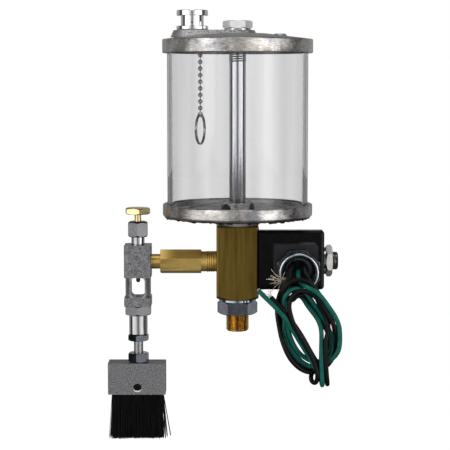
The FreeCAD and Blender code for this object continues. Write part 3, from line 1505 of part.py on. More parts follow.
def make_bristles():
    """A row of tapered tufts that spread downwards and end unevenly."""
    tufts = []
    count = int(number("tuft_count"))
    inset = "slot_depth - strip_wall - turned_gap * 3"
    span = "strip_length - tuft_root * 2 - tuft_gap"
    for k in range(count):
        share = k / (count - 1)
        tuft = doc.addObject("Part::Cone", f"tuft_{k}")
        length = f"bristle_length - tuft_uneven * {round(0.5 + 0.5 * math.sin(2.3 * k), 3)}"
        tuft.setExpression("Radius2", bound("tuft_root"))
        tuft.setExpression("Radius1", bound("tuft_end"))
        tuft.setExpression("Height", bound(f"{length} + {inset}"))
        x = f"brush_x + ({span}) * {round(share - 0.5, 5)}"
        place_at(tuft, (x, "0", f"brush_low - ({length})"))
        tufts.append(tuft)
    brush = doc.addObject("Part::MultiFuse", "bristles")
    brush.Shapes = tufts
    brush.Label = "bristles"
    nodes.append(brush)


def check_objects():
    for item in doc.Objects:
        if "Invalid" in item.State or "Error" in item.State:
            raise ValueError(f"{item.Label}: {item.State}")
    for item in nodes:
        shape = item.Shape
        if shape.isNull() or not shape.isValid() or not shape.Solids:
            raise ValueError(f"{item.Label}: not a valid solid")


def write_files():
    os.makedirs("parts", exist_ok=True)
    for item in nodes:
        item.Shape.exportStep(f"parts/{item.Label}.step")
    print(len(nodes), "nodes written")


sheet = fill_sheets()
make_mounting()
make_valve_body()
make_bottom_plate()
make_cylinder()
make_top_cover()
make_rod()
make_filler()
make_cap()
make_chain()
make_split_ring()
make_operator()
make_coil()
make_hub()
make_leads()
make_nipple()
make_sight_body()
make_needle_valve()
make_drop_line()
make_brush_block()
make_bristles()
doc.recompute()
check_objects()
write_files()
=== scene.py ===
import json
import math
import random

import bmesh
import bpy
from mathutils import Matrix, Vector


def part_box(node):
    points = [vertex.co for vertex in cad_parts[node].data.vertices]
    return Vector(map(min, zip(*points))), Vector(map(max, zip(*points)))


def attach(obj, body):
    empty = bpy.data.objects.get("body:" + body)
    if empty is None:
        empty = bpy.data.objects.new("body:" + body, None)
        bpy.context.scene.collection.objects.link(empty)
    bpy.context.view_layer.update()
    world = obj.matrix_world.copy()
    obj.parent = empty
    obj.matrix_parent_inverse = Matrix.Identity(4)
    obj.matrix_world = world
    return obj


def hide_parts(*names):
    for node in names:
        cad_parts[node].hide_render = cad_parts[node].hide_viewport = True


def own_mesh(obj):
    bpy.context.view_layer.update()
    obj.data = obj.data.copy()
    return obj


# The looks of a solenoid chain oiler: a clear reservoir, its valve body and coil, the sight-feed
# valve with its brush, and the coil's three leads. Metres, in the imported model's own frame.

MM = 0.001
IMAGE_WIDTH = 450
FOCAL_PIXELS = 1480
SENSOR = 36.0
HUB_MOUTH = (40.4, -36.0, 44.0)
CAMERA_PLACE = Vector((-0.0085, -1.00399, 0.17292))
CAMERA_DROP = math.atan(148 / FOCAL_PIXELS)

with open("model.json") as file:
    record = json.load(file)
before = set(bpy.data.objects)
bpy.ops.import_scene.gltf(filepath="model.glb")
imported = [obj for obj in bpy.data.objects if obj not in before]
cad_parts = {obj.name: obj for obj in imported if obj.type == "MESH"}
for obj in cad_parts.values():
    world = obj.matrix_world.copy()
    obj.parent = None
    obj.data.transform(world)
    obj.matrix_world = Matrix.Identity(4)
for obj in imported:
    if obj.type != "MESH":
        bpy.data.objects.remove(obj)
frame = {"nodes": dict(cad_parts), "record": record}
nodes = frame["nodes"]
BODY_OF = {n: b for b, ns in frame["record"]["behaviour"]["bodies"].items() for n in ns}
SLOT_OF = {s["node"]: s["material_slot"] for s in frame["record"]["subparts"]}
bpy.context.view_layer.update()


# Node trees.


def link(tree, source, target):
    tree.links.new(source, target)


def add(tree, kind, **values):
    """A node with its properties and its inputs set by name."""
    node = tree.nodes.new(kind)
    for name, value in values.items():
        if hasattr(node, name) and name not in node.inputs:
            setattr(node, name, value)
            continue
        place(tree, node, name.replace("_", " "), value)
    return node


def place(tree, node, name, value):
    """Sets an input to a value, or links it when the value is another node's socket."""
    socket = node.inputs[name]
    if isinstance(value, bpy.types.NodeSocket):
        link(tree, value, socket)
    else:
        socket.default_value = value


def maths(tree, operation, first, second=0.0, third=0.0):
    node = tree.nodes.new("ShaderNodeMath")
    node.operation = operation
    for k, value in enumerate((first, second, third)):
        place(tree, node, k, value)
    return node.outputs[0]


def blend_colours(tree, amount, dark, light, kind="MIX"):
    node = tree.nodes.new("ShaderNodeMix")
    node.data_type = "RGBA"
    node.blend_type = kind
    place(tree, node, 0, amount)
    place(tree, node, 6, dark)
    place(tree, node, 7, light)
    return node.outputs[2]


def rescale(tree, value, low, high, to_low=0.0, to_high=1.0):
    node = tree.nodes.new("ShaderNodeMapRange")
    for k, item in enumerate((value, low, high, to_low, to_high)):
        place(tree, node, k, item)
    return node.outputs[0]


def noise(tree, vector, scale, detail=3.0, roughness=0.55):
    node = add(tree, "ShaderNodeTexNoise", Vector=vector, Scale=scale, Detail=detail)
    node.inputs["Roughness"].default_value = roughness
    return node.outputs["Fac"]


def from_axis(tree, x, y):
    """How far a point lies from the Z axis."""
    squares = [maths(tree, "MULTIPLY", side, side) for side in (x, y)]
    return maths(tree, "SQRT", maths(tree, "ADD", *squares))


def shared_group(name, inputs, outputs):
    tree = bpy.data.node_groups.new(name, "ShaderNodeTree")
    for label, kind, value in inputs:
        socket = tree.interface.new_socket(label, in_out="INPUT", socket_type="NodeSocket" + kind)
        if value is not None:
            socket.default_value = value
    for label, kind in outputs:
        tree.interface.new_socket(label, in_out="OUTPUT", socket_type="NodeSocket" + kind)
    return tree, tree.nodes.new("NodeGroupInput"), tree.nodes.new("NodeGroupOutput")


def make_surface_group():
    """Mottled colour, uneven roughness and a fine relief, all from one stretched noise space."""
    tree, given, made = shared_group(
        "Uneven finish",
        [
            ("Vector", "Vector", None),
            ("Dark", "Color", (0.4, 0.4, 0.4, 1)),
            ("Light", "Color", (0.6, 0.6, 0.6, 1)),
            ("Tone Scale", "Float", 120.0),
            ("Smooth", "Float", 0.25),
            ("Rough", "Float", 0.4),
            ("Grain Scale", "Float", 1500.0),
            ("Relief", "Float", 0.1),
            ("Speckle", "Float", 0.3),
        ],
        [("Color", "Color"), ("Roughness", "Float"), ("Normal", "Vector")],
    )
    vector = given.outputs["Vector"]
    tone = rescale(tree, noise(tree, vector, given.outputs["Tone Scale"]), 0.3, 0.7)
    grain = noise(tree, vector, given.outputs["Grain Scale"], 2.0)
    fleck = maths(tree, "SUBTRACT", rescale(tree, grain, 0.3, 0.7), tone)
    shade = maths(tree, "MULTIPLY_ADD", fleck, given.outputs["Speckle"], tone)
    colour = blend_colours(tree, shade, given.outputs["Dark"], given.outputs["Light"])
    link(tree, colour, made.inputs["Color"])
    mixed = maths(tree, "MULTIPLY_ADD", tone, 0.5, maths(tree, "MULTIPLY", grain, 0.5))
    rough = rescale(tree, mixed, 0.2, 0.8, given.outputs["Smooth"], given.outputs["Rough"])
    link(tree, rough, made.inputs["Roughness"])
    strength = given.outputs["Relief"]
    bump = add(tree, "ShaderNodeBump", Height=grain, Strength=strength, Distance=BUMP_DEPTH)
    link(tree, bump.outputs[0], made.inputs["Normal"])
    return tree


def wrapped(tree, units, count, along, scale):
    """A noise space that closes on itself round Z."""
    space = add(tree, "ShaderNodeCombineXYZ", Z=maths(tree, "MULTIPLY", along, scale))
    for k, unit in enumerate(units):
        link(tree, maths(tree, "MULTIPLY", unit, count), space.inputs[k])
    return space.outputs[0]


def make_turned_group():
    """Marks of turning about Z: bands that change with the angle, and lines round the axis."""
    tree, given, made = shared_group(
        "Turned marks",
        [("Vector", "Vector", None), ("Band Count", "Float", 9.0), ("Line Scale", "Float", 4000.0)],
        [("Bands", "Float"), ("Lines", "Float"), ("Radius", "Float")],
    )
    parts = add(tree, "ShaderNodeSeparateXYZ", Vector=given.outputs["Vector"])
    x, y, z = parts.outputs
    radius = from_axis(tree, x, y)
    units = [maths(tree, "DIVIDE", side, radius) for side in (x, y)]
    bands = noise(tree, wrapped(tree, units, given.outputs["Band Count"], z, 70.0), 1.0, 4.0, 0.6)
    along = maths(tree, "ADD", z, radius)
    drawn_out = wrapped(tree, units, 17.0, along, given.outputs["Line Scale"])
    lines = noise(tree, drawn_out, 1.0, 3.0, 0.6)
    link(tree, rescale(tree, bands, 0.35, 0.65), made.inputs["Bands"])
    link(tree, lines, made.inputs["Lines"])
    link(tree, radius, made.inputs["Radius"])
    return tree


BUMP_DEPTH = 0.1 * MM
UNEVEN = make_surface_group()
TURNED = make_turned_group()

# Inputs of the uneven finish: dark and light colour, scale of the mottling, roughness at its
# smoothest and roughest, scale of the grain, relief, and share of the grain in the colour.
CAST_SKIN = ((0.05, 0.05, 0.05), (0.66, 0.65, 0.64), 260, 0.4, 0.6, 1300, 0.6, 0.8)
HUB_SKIN = ((0.03, 0.034, 0.04), (0.1, 0.11, 0.125), 330, 0.16, 0.3, 1700, 0.2)

RIM_INNER, BOSS_TOP = 49.9 * MM, 79.1 * MM
RIM_COLOURS = ((0.22, 0.22, 0.24, 1), (0.72, 0.68, 0.63, 1))
MACHINED = (0.85, 0.85, 0.84, 1)
PAD_ROOT, PAD_FACE = -20.1 * MM, -21.4 * MM
PAD_GREY = (0.026, 0.025, 0.028, 1)
# Radius and half width of the painted highlight rings on the hub's mouth, in millimetres.
HUB_HIGHLIGHT_RINGS = ((12.5, 0.6), (10.95, 0.35))
HUB_HIGHLIGHT_COLOUR = (0.56, 0.6, 0.64, 1)


def new_material(name, centre=(0, 0, 0), stretch=(1, 1, 1), turn=(0, 0, 0)):
    """A material with its shader and its pattern space, centred and stretched on the object."""
    material = bpy.data.materials.new(name)
    material.use_nodes = True
    tree = material.node_tree
    shader = tree.nodes["Principled BSDF"]
    coordinates = tree.nodes.new("ShaderNodeTexCoord")
    mapping = tree.nodes.new("ShaderNodeMapping")
    mapping.vector_type = "TEXTURE"
    mapping.inputs["Location"].default_value = centre
    mapping.inputs["Rotation"].default_value = turn
    mapping.inputs["Scale"].default_value = stretch
    link(tree, coordinates.outputs["Object"], mapping.inputs["Vector"])
    return material, tree, shader, mapping.outputs[0]


def uneven(tree, vector, dark, light, tone, smooth, rough, grain, relief, speckle=0.3):
    node = tree.nodes.new("ShaderNodeGroup")
    node.node_tree = UNEVEN
    values = (vector, (*dark, 1), (*light, 1), tone, smooth, rough, grain, relief, speckle)
    for k, value in enumerate(values):
        place(tree, node, k, value)
    return node


def as_metal(tree, shader, colour, roughness, normal):
    link(tree, colour, shader.inputs["Base Color"])
    link(tree, roughness, shader.inputs["Roughness"])
    link(tree, normal, shader.inputs["Normal"])
    shader.inputs["Metallic"].default_value = 1.0


def metal(name, dark, light, tone, smooth, rough, grain, relief, speckle=0.3, **space):
    """A bare or plated metal. The pattern space may be stretched along the way it was brushed."""
    material, tree, shader, vector = new_material(name, **space)
    finish = uneven(tree, vector, dark, light, tone, smooth, rough, grain, relief, speckle)
    as_metal(tree, shader, *(finish.outputs[label] for label in ("Color", "Roughness", "Normal")))
    return material


def moulding(name, dark, light, tone, smooth, rough, grain, relief, specular=0.5, **space):
    """A plastic, rubber or fibre surface."""
    material = metal(name, dark, light, tone, smooth, rough, grain, relief, 0.3, **space)
    shader = material.node_tree.nodes["Principled BSDF"]
    shader.inputs["Metallic"].default_value = 0.0
    shader.inputs["Specular IOR Level"].default_value = specular
    return material


def cast_and_brushed(name, rim_inner, boss_top):
    """A casting: brushed outside rim_inner, machined below boss_top, rough and pitted elsewhere."""
    material, tree, shader, vector = new_material(name)
    cast = uneven(tree, vector, *CAST_SKIN)
    marks = tree.nodes.new("ShaderNodeGroup")
    marks.node_tree = TURNED
    link(tree, vector, marks.inputs["Vector"])
    marks.inputs["Band Count"].default_value = 3.6
    marks.inputs["Line Scale"].default_value = 1500
    warm = blend_colours(tree, marks.outputs["Bands"], *RIM_COLOURS)
    shade = rescale(tree, marks.outputs["Lines"], 0.32, 0.68, 0.45, 1.0)
    rim_colour = blend_colours(tree, 1.0, warm, shade, "MULTIPLY")
    on_rim = rescale(tree, marks.outputs["Radius"], rim_inner - 0.2 * MM, rim_inner)
    height = add(tree, "ShaderNodeSeparateXYZ", Vector=vector).outputs[2]
    machined = rescale(tree, height, boss_top, boss_top - 0.3 * MM)
    flat = blend_colours(tree, machined, cast.outputs["Color"], MACHINED)
    colour = blend_colours(tree, on_rim, flat, rim_colour)
    rim_rough = rescale(tree, marks.outputs["Lines"], 0.3, 0.7, 0.26, 0.42)
    rough = tree.nodes.new("ShaderNodeMix")
    place(tree, rough, 0, on_rim)
    place(tree, rough, 2, cast.outputs["Roughness"])
    place(tree, rough, 3, rim_rough)
    lines, pits = marks.outputs["Lines"], cast.outputs["Normal"]
    bump = add(tree, "ShaderNodeBump", Height=lines, Strength=0.3, Distance=BUMP_DEPTH, Normal=pits)
    as_metal(tree, shader, colour, rough.outputs[0], bump.outputs[0])
    return material


def ring_mask(tree, far, middle, half):
    """1 on the ring that lies round middle, and 0 beyond half its width."""
    off = maths(tree, "ABSOLUTE", maths(tree, "SUBTRACT", far, middle))
    return rescale(tree, off, half * 0.6, half, 1.0, 0.0)


def coil_plastic():
    """Black moulding, greyer on the raised pad."""
    material = moulding(
        "Satin black moulding", (0.0008, 0.0008, 0.001), (0.0025, 0.0024, 0.0028),
        240, 0.2, 0.32, 2600, 0.08, 0.14,
    )
    tree = material.node_tree
    shader = tree.nodes["Principled BSDF"]
    tone = shader.inputs["Base Color"].links[0].from_socket
    vector = tree.nodes["Mapping"].outputs[0]
    y = add(tree, "ShaderNodeSeparateXYZ", Vector=vector).outputs[1]
    raised = rescale(tree, y, PAD_ROOT, PAD_FACE)
    link(tree, blend_colours(tree, raised, tone, PAD_GREY), shader.inputs["Base Color"])
    return material


def hub_metal(name):
    """Dull die casting, with painted highlight rings on the rim of the round mouth."""
    material, tree, shader, vector = new_material(
        name, centre=tuple(Vector(HUB_MOUTH) * MM), turn=(math.radians(90), 0, 0)
    )
    finish = uneven(tree, vector, *HUB_SKIN)
    x, y, z = add(tree, "ShaderNodeSeparateXYZ", Vector=vector).outputs
    far = from_axis(tree, x, y)
    # Painted highlights: pale rings where the mouth's lip edges would catch the light.
    rings = [ring_mask(tree, far, middle * MM, half * MM) for middle, half in HUB_HIGHLIGHT_RINGS]
    painted_highlight = maths(tree, "MAXIMUM", *rings)
    bright = blend_colours(tree, painted_highlight, finish.outputs["Color"], HUB_HIGHLIGHT_COLOUR)
    as_metal(tree, shader, bright, finish.outputs["Roughness"], finish.outputs["Normal"])
    return material


def clear_acrylic():
    """Clear tube stock, its colour painted grey with vertical streaks of painted reflection along
    the tube. Lamps shine through it, so that what it holds is lit.
    """
    material, tree, shader, vector = new_material("Clear acrylic", stretch=(1, 1, 30))
    # Painted shade and painted reflections: a grey, streaked along the tube by a stretched noise.
    bands = rescale(tree, noise(tree, vector, 60, 2.0), 0.35, 0.65)
    painted_grey_streaks = blend_colours(tree, bands, (0.765, 0.762, 0.77, 1), (0.87, 0.868, 0.872, 1))
    link(tree, painted_grey_streaks, shader.inputs["Base Color"])
    shader.inputs["Transmission Weight"].default_value = 1.0
    shader.inputs["IOR"].default_value = 1.07
    shader.inputs["Roughness"].default_value = 0.0
    shader.inputs["Coat Weight"].default_value = 0.3
    shader.inputs["Coat Roughness"].default_value = 0.04
    clear = add(tree, "ShaderNodeBsdfTransparent", Color=(0.93, 0.94, 0.94, 1))
    path = tree.nodes.new("ShaderNodeLightPath")
    either = maths(tree, "MAXIMUM", path.outputs["Is Shadow Ray"], path.outputs["Is Diffuse Ray"])
    mix = tree.nodes.new("ShaderNodeMixShader")
    link(tree, either, mix.inputs[0])
    link(tree, shader.outputs[0], mix.inputs[1])
    link(tree, clear.outputs[0], mix.inputs[2])
    link(tree, mix.outputs[0], tree.nodes["Material Output"].inputs["Surface"])
    return material


# Name, then the inputs of the uneven finish up to the relief.
METALS = {
    "rod_steel": (
        "Polished rod", (0.6, 0.605, 0.64), (0.76, 0.77, 0.8), 700, 0.06, 0.12, 5000, 0.04,
    ),
    "chrome": ("Chrome plate", (0.62, 0.62, 0.63), (0.76, 0.76, 0.77), 300, 0.04, 0.1, 900, 0.03),
    "nickel": (
        "Nickel plate", (0.74, 0.72, 0.69), (0.86, 0.84, 0.81), 300, 0.08, 0.16, 2200, 0.05,
    ),
    "chain_nickel": (
        "Chain wire", (0.2, 0.19, 0.18), (0.46, 0.45, 0.43), 900, 0.12, 0.26, 5000, 0.1,
    ),
    "zinc": ("Zinc plate", (0.2, 0.225, 0.26), (0.36, 0.39, 0.44), 260, 0.03, 0.09, 2600, 0.02),
    "aged_brass": (
        "Aged brass bar", (0.095, 0.06, 0.012), (0.2, 0.135, 0.03), 420, 0.3, 0.5, 4200, 0.3,
    ),
    "nipple_brass": (
        "Nipple brass", (0.5, 0.32, 0.075), (0.85, 0.6, 0.2), 210, 0.34, 0.46, 2600, 0.05,
    ),
    "stud_brass": (
        "Stud brass", (0.4, 0.23, 0.045), (0.72, 0.47, 0.14), 500, 0.08, 0.18, 3000, 0.04,
    ),
    "pale_brass": (
        "Pale brass", (0.52, 0.38, 0.17), (0.76, 0.6, 0.33), 500, 0.22, 0.38, 3400, 0.14,
    ),
    "grey_aluminium": (
        "Satin aluminium", (0.15, 0.15, 0.155), (0.3, 0.3, 0.3), 260, 0.2, 0.36, 3600, 0.1,
    ),
    "brush_aluminium": (
        "Speckled block", (0.015, 0.015, 0.018), (0.42, 0.42, 0.43), 900, 0.38, 0.58, 1500, 0.45,
    ),
    "dark_steel": (
        "Dark steel", (0.05, 0.042, 0.036), (0.2, 0.17, 0.14), 420, 0.14, 0.28, 3000, 0.08,
    ),
    "blasted": (
        "Blasted aluminium", (0.07, 0.07, 0.078), (0.43, 0.43, 0.445), 260, 0.32, 0.48, 1700, 0.35,
    ),
    "satin_aluminium": (
        "Satin aluminium", (0.1, 0.1, 0.105), (0.17, 0.17, 0.175), 400, 0.28, 0.4, 2600, 0.05,
    ),
    "dark_plate": (
        "Dark plating", (0.045, 0.05, 0.062), (0.11, 0.12, 0.14), 260, 0.05, 0.12, 2600, 0.02,
    ),
    "bright_aluminium": (
        "Turned aluminium", (0.28, 0.28, 0.285), (0.44, 0.435, 0.435), 400, 0.08, 0.16, 3600, 0.03,
    ),
    "satin_nickel": (
        "Satin nickel", (0.82, 0.81, 0.79), (0.94, 0.93, 0.91), 500, 0.42, 0.55, 2600, 0.08,
    ),
    # Near-black for painted shade: on the plate's torn edge, in the arches' mouths, in the set
    # screw's hole and in the arch over the sight window.
    "shade_black": (
        "Near-black painted shade", (0.003, 0.003, 0.003), (0.035, 0.033, 0.03), 900, 0.5, 0.7, 1800, 0.5,
    ),
    "copper_strands": (
        "Tinned strands", (0.5, 0.4, 0.28), (0.85, 0.8, 0.7), 1600, 0.25, 0.45, 5000, 0.2,
    ),
}
# How much of the grain shows in the colour, and how far a pattern is drawn out, where they are
# not the usual ones.
SPECKLE = {"brush_aluminium": 0.9, "blasted": 0.85, "shade_black": 0.7}
STRETCH = {
    "rod_steel": (1, 1, 28),
    "aged_brass": (1, 1, 22),
    "nipple_brass": (6, 1, 1),
    "grey_aluminium": (1, 1, 5),
    "bright_aluminium": (1, 1, 5),
}
# As in METALS, with the strength of the gloss at the end where it is not the usual one.
MOULDINGS = {
    "rubber": ("Rubber", (0.012, 0.012, 0.012), (0.03, 0.03, 0.03), 700, 0.5, 0.7, 3600, 0.2),
    "gasket_rubber": (
        "Gasket rubber", (0.015, 0.015, 0.015), (0.035, 0.035, 0.035), 700, 0.5, 0.7, 3600, 0.2,
    ),
    "gasket_fibre": (
        "Gasket fibre", (0.06, 0.05, 0.045), (0.13, 0.11, 0.1), 900, 0.6, 0.8, 3600, 0.3,
    ),
    "bristle_nylon": (
        "Bristle nylon", (0.0005, 0.0005, 0.0005), (0.004, 0.004, 0.004),
        1800, 0.35, 0.5, 4000, 0.1, 0.1,
    ),
    "black_insulation": (
        "Black insulation", (0.001, 0.0008, 0.001), (0.005, 0.0035, 0.0045),
        200, 0.3, 0.5, 2800, 0.14, 0.14,
    ),
    "green_insulation": (
        "Green insulation", (0.0, 0.055, 0.042), (0.0, 0.14, 0.108),
        200, 0.36, 0.52, 2800, 0.14, 0.22,
    ),
}


def make_materials():
    made = {
        "cast_aluminium": cast_and_brushed("Cast and brushed aluminium", RIM_INNER, BOSS_TOP),
        "clear_acrylic": clear_acrylic(),
        "hub_zinc": hub_metal("Hub casting"),
        "coil_moulding": coil_plastic(),
    }
    for key, values in METALS.items():
        space = {"stretch": STRETCH[key]} if key in STRETCH else {}
        made[key] = metal(*values, SPECKLE.get(key, 0.3), **space)
    for key, values in MOULDINGS.items():
        made[key] = moulding(*values)
    return made


MATERIALS = make_materials()


# Meshes.


def in_scene(name, data):
    item = bpy.data.objects.new(name, data)
    bpy.context.scene.collection.objects.link(item)
    return item


def evaluated_mesh(item):
    """A new mesh of what an object's modifiers or curves give."""
    graph = bpy.context.evaluated_depsgraph_get()
    return bpy.data.meshes.new_from_object(item.evaluated_get(graph))


def outward_mesh(name, points, faces):
    """A closed mesh with its faces turned outwards."""
    mesh = bpy.data.meshes.new(name)
    mesh.from_pydata(points, [], faces)
    work = bmesh.new()
    work.from_mesh(mesh)
    bmesh.ops.recalc_face_normals(work, faces=work.faces)
    work.to_mesh(mesh)
    work.free()
    return mesh


def smoothed(mesh, angle):
    """Smooth shading, but for edges sharper than an angle in degrees."""
    mesh.shade_smooth()
    mesh.set_sharp_from_angle(angle=math.radians(angle))
    return mesh


def new_piece(name, mesh, slot, body, finish=None):
    """Puts a finished mesh in the scene as a piece of the object."""
    piece = in_scene(name, mesh)
    mesh.materials.clear()
    mesh.materials.append(MATERIALS[finish or slot])
    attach(piece, body)
    return piece


def merged_mesh(name, source, angle):
    """A CAD mesh with its triangles joined and its round faces smooth."""
    work = bmesh.new()
    work.from_mesh(source)
    bmesh.ops.remove_doubles(work, verts=work.verts, dist=0.001 * MM)
    flat = math.radians(0.2)
    bmesh.ops.dissolve_limit(work, angle_limit=flat, verts=work.verts, edges=work.edges)
    work.verts.index_update()
    points = [v.co.copy() for v in work.verts]
    faces = [[v.index for v in f.verts] for f in work.faces]
    work.free()
    mesh = bpy.data.meshes.new(name)
    mesh.from_pydata(points, [], faces)
    return smoothed(mesh, angle)


def apply_modifiers(piece):
    mesh, old = evaluated_mesh(piece), piece.data
    piece.modifiers.clear()
    piece.data = mesh
    bpy.data.meshes.remove(old)


def dress(node, edge, angle=32):
    """A piece that stands for a CAD node, with smooth rounds and its sharp edges broken."""
    mesh = merged_mesh(node + "_finish", nodes[node].data, angle)
    piece = new_piece(node + "_finish", mesh, SLOT_OF[node], BODY_OF[node], FINISHES.get(node))
    if edge:
        bevel = piece.modifiers.new("edge", "BEVEL")
        bevel.width = edge * MM
        bevel.segments = 2
        bevel.limit_method = "ANGLE"
        bevel.angle_limit = math.radians(angle)
        bevel.use_clamp_overlap = True
        flatness = piece.modifiers.new("flats", "WEIGHTED_NORMAL")
        flatness.keep_sharp = True
        apply_modifiers(piece)
    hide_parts(node)
    return piece


def revolved(name, rings, segments):
    """A closed mesh round Z from rings of (radius, height). A radius may be a function of the
    angle."""
    points, faces = [], []
    for radius, height in rings:
        for k in range(segments):
            angle = 2 * math.pi * k / segments
            r = radius(angle) if callable(radius) else radius
            points.append((r * math.cos(angle), r * math.sin(angle), height))
    for row in range(len(rings) - 1):
        for k in range(segments):
            a, b = row * segments + k, row * segments + (k + 1) % segments
            faces.append((a, b, b + segments, a + segments))
    faces.append(tuple(reversed(range(segments))))
    faces.append(tuple(range(len(points) - segments, len(points))))
    mesh = bpy.data.meshes.new(name)
    mesh.from_pydata(points, [], faces)
    return mesh


# The leads. Each route is the lead's own line, in millimetres: points picked by eye along the
# lead, that a helper program then turned into a curve's points and moved apart, so that the
# leads lie on each other.

